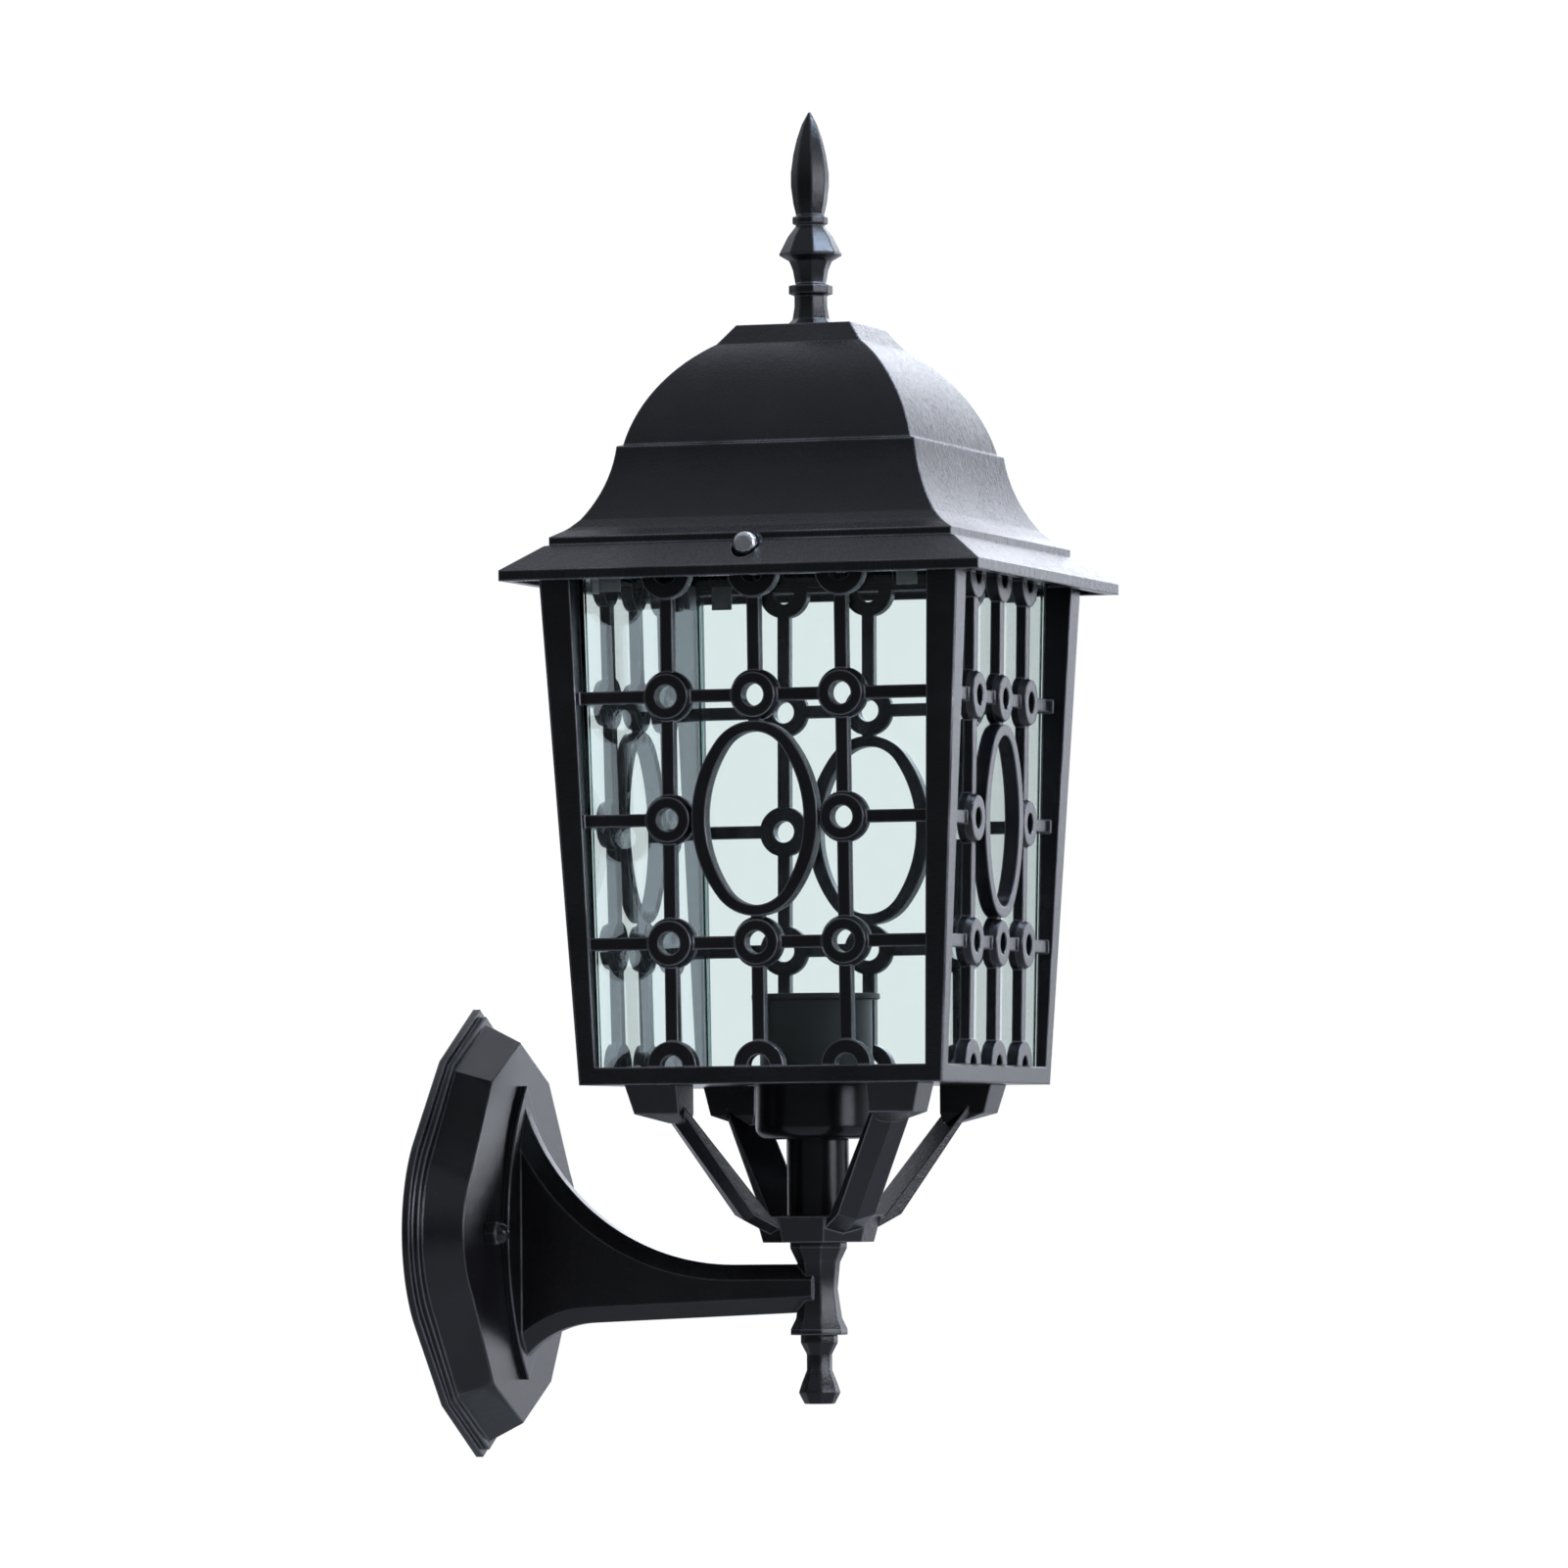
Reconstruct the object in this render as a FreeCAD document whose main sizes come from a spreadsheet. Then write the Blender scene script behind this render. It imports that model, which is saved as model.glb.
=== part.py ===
import FreeCAD
import Part
import Sketcher
import os
import re
from FreeCAD import Placement, Rotation, Vector

# A four-sided coach lantern for an outside wall: a pointed wall plate, a flared arm with an
# eight-sided stem, a cradle of four legs, a glazed body of four lattice panels and a domed roof.
# The origin is the middle of the wall plate's back. +Z is up and the lamp stands out along -Y.
os.makedirs("parts", exist_ok=True)
doc = FreeCAD.newDocument("outdoor_wall_light")

SIZES = {
    # Wall to the upright axis that the lantern, its cradle and the stem share
    "axis_reach": 137.6,
    "fit": 0.1,
    # Wall plate: its outline at the wall and at its face, and the steps between them
    "rim_half_height": 85.3,
    "rim_half_width": 82,
    "rim_shoulder_out": 39,
    "rim_shoulder_up": 65,
    "rim_bow_out": 70,
    "rim_bow_up": 33,
    "face_half_height": 72.4,
    "face_half_width": 66.4,
    "face_shoulder_out": 33,
    "face_shoulder_up": 57.2,
    "face_bow_out": 57,
    "face_bow_up": 23,
    "rim_depth": 3,
    "bead_depth": 2.5,
    "bead_share": 0.22,
    "side_share": 0.42,
    "plate_depth": 19.2,
    "plate_wall": 3,
    # Strap on the wall, with two studs and cap nuts that hold the plate
    "strap_length": 98,
    "strap_height": 22,
    "strap_thick": 2,
    "stud_out": 39,
    "stud_radius": 2.5,
    "stud_end": 6,
    "wall_hole_out": 24,
    "wall_hole_radius": 2.75,
    "nut_radius": 5,
    "nut_height": 4.4,
    # Terminal block and earth screw inside the plate
    "block_wide": 32,
    "block_tall": 14,
    "block_deep": 10,
    "block_up": 3,
    "pole_pitch": 10,
    "pole_row": 3.5,
    "pole_radius": 1.8,
    "pole_depth": 4,
    "earth_out": 24,
    "earth_up": -38,
    "earth_boss_radius": 5,
    "earth_boss_height": 4,
    "earth_radius": 2,
    # Arm: foot on the plate, flared side profile, chamfers and the bore for the wires
    "foot_half_height": 56,
    "foot_half_width": 22.5,
    "foot_thick": 2.5,
    "arm_half_width": 8.5,
    "arm_chamfer": 5.8,
    "arm_root_top": 50,
    "arm_root_low": -47.8,
    "arm_bend_top": 105,
    "arm_bend_low": 48,
    "bar_top": -12.6,
    "bar_low": -30.6,
    "bar_low_bend": -34.4,
    "wire_up": -22.2,
    "wire_bore": 3.6,
    "arm_screw_high": 20,
    "arm_screw_low": -34,
    "arm_screw_radius": 2.5,
    "arm_screw_depth": 10,
    "screw_head_radius": 4.2,
    "screw_head_height": 2.8,
    # Stem of the arm, and the drop below it, as steps downwards with corner radii
    "stem_top": -4.4,
    "stem_collar": 2.2,
    "stem_collar_radius": 10.8,
    "stem_neck_drop": 5.4,
    "stem_neck_radius": 8.2,
    "stem_waist_drop": 10,
    "stem_waist_radius": 7.2,
    "stem_flare_drop": 11,
    "stem_flare_radius": 8.8,
    "stem_foot_drop": 4.1,
    "drop_bead": 3,
    "drop_bead_radius": 7.1,
    "drop_neck_drop": 4.2,
    "drop_neck_tall": 6,
    "drop_neck_radius": 4.9,
    "drop_swell": 8.5,
    "drop_bulge_radius": 8,
    "drop_end_drop": 4.3,
    "drop_end_radius": 5.8,
    "drop_thread": 4.6,
    # Cradle: hub, four legs on the diagonals, and square feet under the lantern
    "hub_top": 5.4,
    "hub_radius": 23.7,
    "hub_low_radius": 21,
    "leg_half_width": 8,
    "leg_ridge": 3.5,
    "leg_root": 15,
    "leg_root_up": -1.9,
    "leg_heel_out": 24.2,
    "leg_heel_up": 2.6,
    "leg_knee_out": 31.2,
    "leg_knee_up": 6,
    "leg_knee_tall": 7.4,
    "leg_top_out": 60.4,
    "leg_top_tall": 2.9,
    "floor_low": 54.9,
    "pad_inner": 37.05,
    "pad_outer": 57.4,
    "pad_draft": 2.8,
    "pad_tall": 10.8,
    "gusset_tall": 3.5,
    "gusset_run": 10.4,
    "gusset_inset": 1,
    "foot_screw_radius": 2,
    "foot_screw_depth": 8,
    # Threaded pipe, support tube, cup and lamp holder on the axis
    "pipe_radius": 4,
    "pipe_bore": 2.6,
    "pipe_end": 7.5,
    "tube_radius": 11.75,
    "tube_wall": 1.8,
    "tube_tall": 29.1,
    "cup_gap": 1.05,
    "cup_wall": 1.2,
    "cup_tall": 25.5,
    "cup_round": 5,
    "pipe_nut_radius": 7.5,
    "pipe_nut_height": 5,
    "holder_radius": 21.25,
    "holder_wall": 3.75,
    "holder_tall": 53.6,
    "holder_lip": 2.2,
    "holder_lip_over": 3,
    "holder_room": 20.3,
    "holder_floor_thick": 5,
    "thread_bore": 13.3,
    "thread_wall": 0.9,
    "thread_tall": 20,
    "thread_rise": 6,
    "thread_ledge": 1.5,
    "contact_wide": 6,
    "contact_reach": 9,
    "contact_rise": 4,
    "contact_thick": 0.8,
    # Lantern floor
    "floor_thick": 2,
    "floor_hole_gap": 2.5,
    "floor_screw_radius": 1.5,
    "floor_screw_head": 2.8,
    "floor_screw_out": 40,
    # Lattice panels: half-sizes of the body at its two ends, and how far the glass lies behind them
    "outer_low": 70.8,
    "outer_high": 81.8,
    "inset_low": 3.8,
    "inset_high": 10.8,
    "body_tall": 193.7,
    "sill_tall": 6.6,
    "head_tall": 3.3,
    "jamb_lip_low": 2.7,
    "jamb_lip_high": 1.2,
    "lip_reach": 6,
    "lip_thick": 3,
    "tab_half_width": 10,
    "tab_thick": 3.8,
    "tab_tall": 10.4,
    "tab_gap": 1.3,
    "column_pitch": 34,
    "bar_half": 2.4,
    "bar_thick": 4,
    "ring_radius": 9.6,
    "ring_hole_radius": 4.2,
    "ring_base": 3,
    "ring_thick": 5.8,
    "ring_bevel": 24,
    "oval_half_width": 24.5,
    "oval_half_height": 36.3,
    "oval_side_bar": 5.3,
    "oval_end_bar": 4.1,
    "oval_joint": 54.6,
    "pane_thick": 3,
    "pane_gap": 0.3,
    "pane_rise": 2,
    "clip_in": 13,
    "clip_half_width": 4,
    "clip_thick": 0.9,
    "clip_hang": 6,
    # Roof: steps inwards and upwards from its rim to its flat top
    "eave_over": 11.6,
    "rim_drop": 5.8,
    "rim_tall": 4,
    "rim_wall": 4,
    "band_run": 13.4,
    "band_rise": 9.5,
    "mould_step": 1.5,
    "mould_rise": 3.3,
    "mould_run": 4.5,
    "mould_upper_rise": 2.6,
    "ogee_step": 4.8,
    "ogee_foot": 4.3,
    "ogee_run": 10.8,
    "ogee_rise": 27.9,
    "ogee_radius": 58,
    "ledge_run": 2,
    "ledge_rise": 0.7,
    "dome_run": 28,
    "dome_rise": 38.9,
    "dome_bow_radius": 64,
    "cap_run": 5.9,
    "cap_rise": 7.5,
    "roof_wall": 3,
    "seat_gap": 0.5,
    "roof_screw_rise": 6.4,
    "roof_screw_out": 1.5,
    "roof_screw_radius": 2,
    "roof_screw_head": 4.7,
    "roof_screw_head_height": 4,
    "roof_boss_radius": 5.4,
    # Finial on the roof, as steps upwards with corner radii
    "finial_base_radius": 10.2,
    "finial_neck_rise": 8,
    "finial_neck_radius": 6.3,
    "finial_collar_rise": 4.1,
    "finial_edge": 0.7,
    "finial_ring_tall": 3.2,
    "finial_ring_radius": 8.4,
    "finial_waist_radius": 5.9,
    "finial_bell_rise": 8.6,
    "finial_bell_under": 8.2,
    "finial_bell_flare": 2.1,
    "finial_bell_radius": 11.9,
    "finial_bell_slope": 10.7,
    "finial_throat_radius": 5.4,
    "finial_band_tall": 2.5,
    "finial_band_radius": 6.8,
    "finial_spear_rise": 11,
    "finial_spear_radius": 7.3,
    "finial_spear_hold": 5,
    "finial_point_rise": 23.2,
    "finial_tip_radius": 0.5,
    "finial_bolt_radius": 3,
    "finial_bolt_in": 14,
    "finial_bolt_out": 10,
    "finial_nut_radius": 6,
    "finial_nut_height": 5,
}

# Places and sizes that follow from the driving ones
FOLLOWING = {
    "stem_waist_low": "stem_top - stem_collar - stem_neck_drop - stem_waist_drop",
    "stem_low": "stem_waist_low - stem_flare_drop - stem_foot_drop - stem_collar",
    "pad_low": "floor_low - pad_tall",
    "foot_screw_place": "(pad_inner + pad_outer) / 2",
    "cup_low": "hub_top + tube_tall",
    "cup_floor": "cup_low + cup_wall",
    "cup_top": "cup_low + cup_tall",
    "cup_radius": "holder_radius + cup_gap + cup_wall",
    "holder_top": "cup_floor + holder_tall",
    "holder_floor": "cup_floor + holder_room",
    "socket_floor": "holder_floor + holder_floor_thick",
    "socket_radius": "thread_bore + thread_wall + fit",
    "thread_low": "socket_floor + thread_rise",
    "floor_high": "floor_low + floor_thick",
    "glass_low": "outer_low - inset_low",
    "glass_high": "outer_high - inset_high",
    "body_top": "floor_low + body_tall",
    "sill_top": "floor_low + sill_tall",
    "head_low": "body_top - head_tall",
    "window_tall": "head_low - sill_top",
    "row_pitch": "window_tall / 4",
    "tab_top": "body_top + tab_tall",
    "tab_room": "glass_high + fit + tab_thick + tab_gap",
    "eave_half": "outer_high + eave_over",
    "rim_low": "body_top - rim_drop",
    "rim_high": "rim_low + rim_tall",
    "band_half": "eave_half - band_run",
    "band_high": "rim_high + band_rise",
    "mould_half": "band_half - mould_step",
    "mould_high": "band_high + mould_rise",
    "mould_upper_half": "mould_half - mould_run",
    "mould_upper_high": "mould_high + mould_upper_rise",
    "ogee_low_half": "mould_upper_half - ogee_step",
    "ogee_low_high": "mould_upper_high + ogee_foot",
    "ogee_high_half": "ogee_low_half - ogee_run",
    "ogee_high_high": "ogee_low_high + ogee_rise",
    "dome_low_half": "ogee_high_half - ledge_run",
    "dome_low_high": "ogee_high_high + ledge_rise",
    "dome_high_half": "dome_low_half - dome_run",
    "dome_high_high": "dome_low_high + dome_rise",
    "plateau_half": "dome_high_half - cap_run",
    "plateau_high": "dome_high_high + cap_rise",
    "roof_screw_up": "body_top + roof_screw_rise",
    "roof_screw_seat": "band_half + roof_screw_out",
}

sheet = doc.addObject("Spreadsheet::Sheet", "sizes")
for row, (name, size) in enumerate(SIZES.items(), start=1):
    sheet.set(f"A{row}", name)
    sheet.set(f"B{row}", str(size))
    sheet.setAlias(f"B{row}", name)
doc.recompute()

NODES = []


def bind(text):
    """Turn the names in an expression into cells of the sheet, and those that follow into their sums."""

    def cell(word):
        name = word[0]
        if name in FOLLOWING:
            return f"({bind(FOLLOWING[name])})"
        return f"sizes.{name}" if name in SIZES else name

    return re.sub(r"[a-z][a-z_]+", cell, text)


def worth(text):
    """The present value of an expression in size names."""
    return float(sheet.evalExpression(bind(text)))


def tie(thing, **expressions):
    """Bind properties to expressions. A double underscore stands for a dot."""
    for prop, text in expressions.items():
        thing.setExpression(prop.replace("__", "."), bind(text))


def node(thing, label):
    """Name a finished piece, whose label is also its file name."""
    thing.Label = label
    NODES.append(thing)
    return thing


def new_body(name, on_axis=False):
    body = doc.addObject("PartDesign::Body", name)
    if on_axis:
        tie(body, Placement__Base__y="-axis_reach")
    return body


def sketch_on(body, role, lift="0"):
    """A sketch on one of the body's own planes, lifted along the plane's normal."""
    plane = next(item for item in body.Origin.OriginFeatures if item.Role == role)
    sketch = body.newObject("Sketcher::SketchObject", f"{body.Name}_outline")
    sketch.AttachmentSupport = [(plane, "")]
    sketch.MapMode = "FlatFace"
    tie(sketch, AttachmentOffset__Base__z=lift)
    return sketch


def fix_point(sketch, item, end, place):
    """Hold one point of a sketch at a pair of expressions."""
    for kind, text in zip(("DistanceX", "DistanceY"), place):
        index = sketch.addConstraint(Sketcher.Constraint(kind, -1, 1, item, end, worth(text)))
        sketch.setExpression(f"Constraints[{index}]", bind(text))


def fix_radius(sketch, item, text):
    index = sketch.addConstraint(Sketcher.Constraint("Radius", item, worth(text)))
    sketch.setExpression(f"Constraints[{index}]", bind(text))


def draw(sketch, corners, arcs=None):
    """Draw a closed outline. arcs gives a side's radius and its bulge, 1 to the left of travel."""
    arcs = arcs or {}
    first = len(sketch.Geometry)
    points = [Vector(worth(across), worth(up), 0) for across, up in corners]
    ends = []
    for side, start in enumerate(points):
        stop = points[(side + 1) % len(points)]
        if side in arcs:
            radius, bulge = worth(arcs[side][0]), arcs[side][1]
            chord = stop - start
            sagitta = radius - (radius**2 - chord.Length**2 / 4) ** 0.5
            left = Vector(-chord.y, chord.x, 0).normalize()
            sketch.addGeometry(Part.Arc(start, (start + stop) * 0.5 + left * sagitta * bulge, stop))
        else:
            sketch.addGeometry(Part.LineSegment(start, stop))
        distances = [(sketch.getPoint(first + side, end) - start).Length for end in (1, 2)]
        ends.append((1, 2) if distances[0] < distances[1] else (2, 1))
    for side, place in enumerate(corners):
        after = (side + 1) % len(corners)
        sketch.addConstraint(
            Sketcher.Constraint("Coincident", first + side, ends[side][1], first + after, ends[after][0])
        )
        fix_point(sketch, first + side, ends[side][0], place)
    for side, (radius, bulge) in arcs.items():
        fix_radius(sketch, first + side, radius)
    return sketch


def draw_circle(sketch, place, radius):
    middle = Vector(worth(place[0]), worth(place[1]), 0)
    item = sketch.addGeometry(Part.Circle(middle, Vector(0, 0, 1), worth(radius)))
    fix_point(sketch, item, 3, place)
    fix_radius(sketch, item, radius)
    return sketch


def draw_block(sketch, left, right, low, high):
    return draw(sketch, [(left, low), (right, low), (right, high), (left, high)])


def mirrored(half):
    """Close a half outline, listed from the middle line outwards, with its mirror image."""
    return half + [(f"-({across})", up) for across, up in reversed(half)]


def feature(body, kind, sketch, **settings):
    made = body.newObject(f"PartDesign::{kind}", f"{body.Name}_{kind.lower()}")
    made.Profile = sketch
    for prop, setting in settings.items():
        setattr(made, prop, setting)
    return made


def pad(body, sketch, length, **settings):
    made = feature(body, "Pad", sketch, **settings)
    tie(made, Length=length)
    return made


def pocket(body, sketch, length=None, **settings):
    """Cut a sketch out of a body, right through it where no length is given."""
    made = feature(body, "Pocket", sketch, **settings)
    if length is None:
        made.Type = "ThroughAll"
        made.SideType = "Symmetric"
    else:
        tie(made, Length=length)
    return made


def loft(body, sketches, kind="AdditiveLoft"):
    made = feature(body, kind, sketches[0], Ruled=True)
    made.Sections = sketches[1:]
    return made


def repeat(body, original, sketch, axis, pitch, count):
    """Copy a feature along an axis of its sketch."""
    made = body.newObject("PartDesign::LinearPattern", f"{body.Name}_row")
    made.Originals = [original]
    made.Direction = (sketch, [axis])
    made.Mode = "Spacing"
    made.Occurrences = count
    tie(made, Offset=pitch)
    body.Tip = made
    return made


OCTAGON_CORNERS = [22.5 + 45 * step for step in range(8)]


def octagon(radius, middle=("0", "0")):
    """Corners of a regular octagon, two sides square to each axis."""
    across, up = middle
    return [
        (f"{across} + ({radius}) * cos({turn} deg)", f"{up} + ({radius}) * sin({turn} deg)")
        for turn in OCTAGON_CORNERS
    ]


def faceted(body, start, steps, middle=("0", "0")):
    """An eight-sided turned form from a starting height, through steps in height with their corner radii."""
    level = start
    sketches = []
    for step, radius in steps:
        level = f"{level} + ({step})"
        sketches.append(draw(sketch_on(body, "XY_Plane", level), octagon(radius, middle)))
    return loft(body, sketches)


def hexagon(radius):
    """Corners of a nut."""
    return [(f"{radius} * cos({turn} deg)", f"{radius} * sin({turn} deg)") for turn in range(0, 360, 60)]


def revolved(name, half, arcs=None):
    """A turned piece on the lantern's axis, from its outline as radii and heights."""
    body = new_body(name, on_axis=True)
    sketch = draw(sketch_on(body, "XZ_Plane"), half, arcs)
    feature(body, "Revolution", sketch, ReferenceAxis=(sketch, ["V_Axis"]))
    return body


def cylinder(name, radius, length, turn=None, **place):
    """A plain cylinder. turn sets the way its length runs from its base."""
    made = doc.addObject("Part::Cylinder", name)
    tie(made, Radius=radius, Height=length)
    if turn:
        made.Placement = Placement(Vector(), turn)
    tie(made, **{f"Placement__Base__{axis}": text for axis, text in place.items()})
    return made


def joined(name, kind, pieces):
    """A boolean of several pieces: MultiFuse, MultiCommon or a loose Compound."""
    made = doc.addObject(f"Part::{kind}", name)
    setattr(made, "Links" if kind == "Compound" else "Shapes", pieces)
    return made


def cut(name, base, tool):
    made = doc.addObject("Part::Cut", name)
    made.Base = base
    made.Tool = tool
    return made


TO_WALL = Rotation(Vector(1, 0, 0), -90)
FROM_WALL = Rotation(Vector(1, 0, 0), 90)
UPSIDE_DOWN = Rotation(Vector(1, 0, 0), 180)
TO_RIGHT = Rotation(Vector(0, 1, 0), 90)
TO_LEFT = Rotation(Vector(0, 1, 0), -90)


def pan_screw(name, radius, length, head_radius, head_height, turn, back, **seat):
    """A plain screw. turn points from the head to the tip, back from the seat to the top of the head."""
    shank = cylinder(f"{name}_shank", radius, length, turn, **seat)
    head = cylinder(f"{name}_head", head_radius, head_height, back, **seat)
    return joined(name, "MultiFuse", [shank, head])


def between(start, stop, share):
    return f"({start} + ({stop} - {start}) * ({share}))"


def plate_outline(share):
    """The plate's outline part of the way from the rim, 0, to the face, 1."""
    tip = between("rim_half_height", "face_half_height", share)
    side = between("rim_half_width", "face_half_width", share)
    shoulder_out = between("rim_shoulder_out", "face_shoulder_out", share)
    shoulder_up = between("rim_shoulder_up", "face_shoulder_up", share)
    bow_out = between("rim_bow_out", "face_bow_out", share)
    bow_up = between("rim_bow_up", "face_bow_up", share)
    upper = [(shoulder_out, shoulder_up), (bow_out, bow_up)]
    right = upper + [(across, f"-{up}") for across, up in reversed(upper)]
    left = [(f"-{across}", up) for across, up in reversed(right)]
    reach = f"({side} - {bow_out})"
    radius = f"({reach} * {reach} + {bow_up} * {bow_up}) / (2 * {reach})"
    return [("0", tip)] + right + [("0", f"-{tip}")] + left, {2: (radius, 1), 7: (radius, 1)}


# Wall plate: a cast shell with a rim, a bead and sloping sides, hollow behind
plate = new_body("wall_plate")
pad(plate, draw(sketch_on(plate, "XZ_Plane"), *plate_outline("0")), "rim_depth")
pad(plate, draw(sketch_on(plate, "XZ_Plane"), *plate_outline("bead_share")), "rim_depth + bead_depth")
sides = [("rim_depth + bead_depth - 1", "side_share"), ("plate_depth", "1")]
loft(plate, [draw(sketch_on(plate, "XZ_Plane", lift), *plate_outline(share)) for lift, share in sides])
WALL_SHARE = "plate_wall / (rim_half_height - face_half_height)"
hollow = [("0", f"side_share + {WALL_SHARE}"), ("plate_depth - plate_wall", f"1 + {WALL_SHARE}")]
hollow_sketches = [draw(sketch_on(plate, "XZ_Plane", lift), *plate_outline(share)) for lift, share in hollow]
loft(plate, hollow_sketches, "SubtractiveLoft")
earth_boss = draw_circle(
    sketch_on(plate, "XZ_Plane", "plate_depth - plate_wall - earth_boss_height"),
    ("earth_out", "earth_up"),
    "earth_boss_radius",
)
pad(plate, earth_boss, "earth_boss_height + plate_wall / 2")
earth_hole = draw_circle(
    sketch_on(plate, "XZ_Plane", "plate_depth - plate_wall - earth_boss_height - 1"),
    ("earth_out", "earth_up"),
    "earth_radius + fit",
)
pocket(plate, earth_hole, "earth_boss_height + plate_wall / 2 + 1", Reversed=True)
plate_holes = sketch_on(plate, "XZ_Plane")
for across in ("stud_out", "-stud_out"):
    draw_circle(plate_holes, (across, "0"), "stud_radius + fit")
for up in ("arm_screw_high", "arm_screw_low"):
    draw_circle(plate_holes, ("0", up), "arm_screw_radius + fit")
draw_circle(plate_holes, ("0", "wire_up"), "wire_bore")
pocket(plate, plate_holes)
node(plate, "wall_plate")

# Mounting strap: a flat steel bar against the wall, with holes for wall screws and studs
strap = new_body("mounting_strap")
strap_outline = sketch_on(strap, "XZ_Plane")
draw_block(strap_outline, "-strap_length / 2", "strap_length / 2", "-strap_height / 2", "strap_height / 2")
for side in ("", "-"):
    draw_circle(strap_outline, (f"{side}stud_out", "0"), "stud_radius + fit")
    draw_circle(strap_outline, (f"{side}wall_hole_out", "0"), "wall_hole_radius")
pad(strap, strap_outline, "strap_thick")
node(strap, "mounting_strap")

# Studs set in the strap, and the domed cap nuts that clamp the plate
studs = []
nuts = []
for side in ("", "-"):
    across = f"{side}stud_out"
    studs.append(cylinder("stud", "stud_radius", "plate_depth + stud_end", FROM_WALL, x=across))
    prism = doc.addObject("Part::Prism", "nut_hexagon")
    prism.Polygon = 6
    prism.Placement = Placement(Vector(), FROM_WALL)
    tie(prism, Circumradius="nut_radius", Height="nut_height")
    tie(prism, Placement__Base__x=across, Placement__Base__y="-plate_depth")
    dome = doc.addObject("Part::Sphere", "nut_dome")
    tie(dome, Radius="nut_height - 2 * fit")
    tie(dome, Placement__Base__x=across, Placement__Base__y="-plate_depth - nut_height")
    on_face = {"x": across, "y": "-plate_depth"}
    thread = cylinder("nut_thread", "stud_radius + fit", "stud_end + fit", FROM_WALL, **on_face)
    nuts.append(cut("cap_nut", joined("nut_form", "MultiFuse", [prism, dome]), thread))
node(joined("strap_studs", "Compound", studs), "strap_studs")
node(joined("cap_nuts", "Compound", nuts), "cap_nuts")

# Terminal block on the inside of the plate's face, with its row of clamp screws
block = new_body("terminal_block")
block_lift = "plate_depth - plate_wall - block_deep"
block_face = sketch_on(block, "XZ_Plane", block_lift)
block_ends = ("block_up - block_tall / 2", "block_up + block_tall / 2")
draw_block(block_face, "-block_wide / 2", "block_wide / 2", *block_ends)
pad(block, block_face, "block_deep")
poles = [(f"{step} * pole_pitch", f"block_up + {row} * pole_row") for step in (-1, 0, 1) for row in (-1, 1)]
pole_holes = sketch_on(block, "XZ_Plane", block_lift)
for place in poles:
    draw_circle(pole_holes, place, "pole_radius + fit")
pocket(block, pole_holes, "pole_depth", Reversed=True)
node(block, "terminal_block")
pole_foot = f"-({block_lift}) - pole_depth"
pole_screws = [
    cylinder("pole_screw", "pole_radius", "pole_depth - 0.5", TO_WALL, x=across, y=pole_foot, z=up)
    for across, up in poles
]
node(joined("terminal_screws", "Compound", pole_screws), "terminal_screws")

# Earth screw in its boss, and the two screws that hold the arm from inside the plate
earth_seat = "-(plate_depth - plate_wall - earth_boss_height)"
earth = pan_screw(
    "earth_screw",
    "earth_radius",
    "earth_boss_height + plate_wall / 2 - fit",
    "screw_head_radius",
    "screw_head_height",
    FROM_WALL,
    TO_WALL,
    x="earth_out",
    y=earth_seat,
    z="earth_up",
)
node(earth, "earth_screw")
arm_screws = [
    pan_screw(
        "arm_screw",
        "arm_screw_radius",
        "plate_wall + arm_screw_depth",
        "screw_head_radius",
        "screw_head_height",
        FROM_WALL,
        TO_WALL,
        x="0",
        y="-(plate_depth - plate_wall)",
        z=up,
    )
    for up in ("arm_screw_high", "arm_screw_low")
]
node(joined("arm_screws", "Compound", arm_screws), "arm_screws")

# Bracket arm: one casting of a pointed foot, a flared eight-sided bar and the stem at its end
arm = new_body("bracket_arm")
root = "plate_depth + foot_thick - 1"
rise = "(arm_root_top - bar_top)"
top_run = f"(arm_bend_top - ({root}))"
top_radius = f"({top_run} * {top_run} + {rise} * {rise}) / (2 * {rise})"
slope = "atan((bar_low - bar_low_bend) / (axis_reach - arm_bend_low))"
fall = "(bar_low_bend - arm_root_low)"
low_run = f"(arm_bend_low - ({root}))"
low_sagitta = f"({fall} * cos({slope}) - {low_run} * sin({slope}))"
low_radius = f"({low_run} * {low_run} + {fall} * {fall}) / (2 * {low_sagitta})"
side_profile = draw(
    sketch_on(arm, "YZ_Plane"),
    [
        (f"-({root})", "arm_root_low"),
        ("-arm_bend_low", "bar_low_bend"),
        ("-axis_reach", "bar_low"),
        ("-axis_reach", "bar_top"),
        ("-arm_bend_top", "bar_top"),
        (f"-({root})", "arm_root_top"),
    ],
    {0: (low_radius, -1), 4: (top_radius, -1)},
)
bar = pad(arm, side_profile, "2 * arm_half_width", SideType="Symmetric")
doc.recompute()
long_edges = []
for number, edge in enumerate(bar.Shape.Edges, start=1):
    box = edge.BoundBox
    if box.XLength < 0.01 and box.YLength > 1:
        long_edges.append(f"Edge{number}")
bevel = arm.newObject("PartDesign::Chamfer", "arm_bevel")
bevel.Base = (bar, long_edges)
tie(bevel, Size="arm_chamfer")
arm.Tip = bevel
foot = sketch_on(arm, "XZ_Plane", "plate_depth")
foot_bow = "foot_half_height * foot_half_height / foot_half_width"
foot_radius = f"({foot_bow} + foot_half_width) / 2"
foot_tips = [("0", "foot_half_height"), ("0", "-foot_half_height")]
draw(foot, foot_tips, {0: (foot_radius, 1), 1: (foot_radius, 1)})
pad(arm, foot, "foot_thick")
on_stem = ("0", "-axis_reach")
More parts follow.
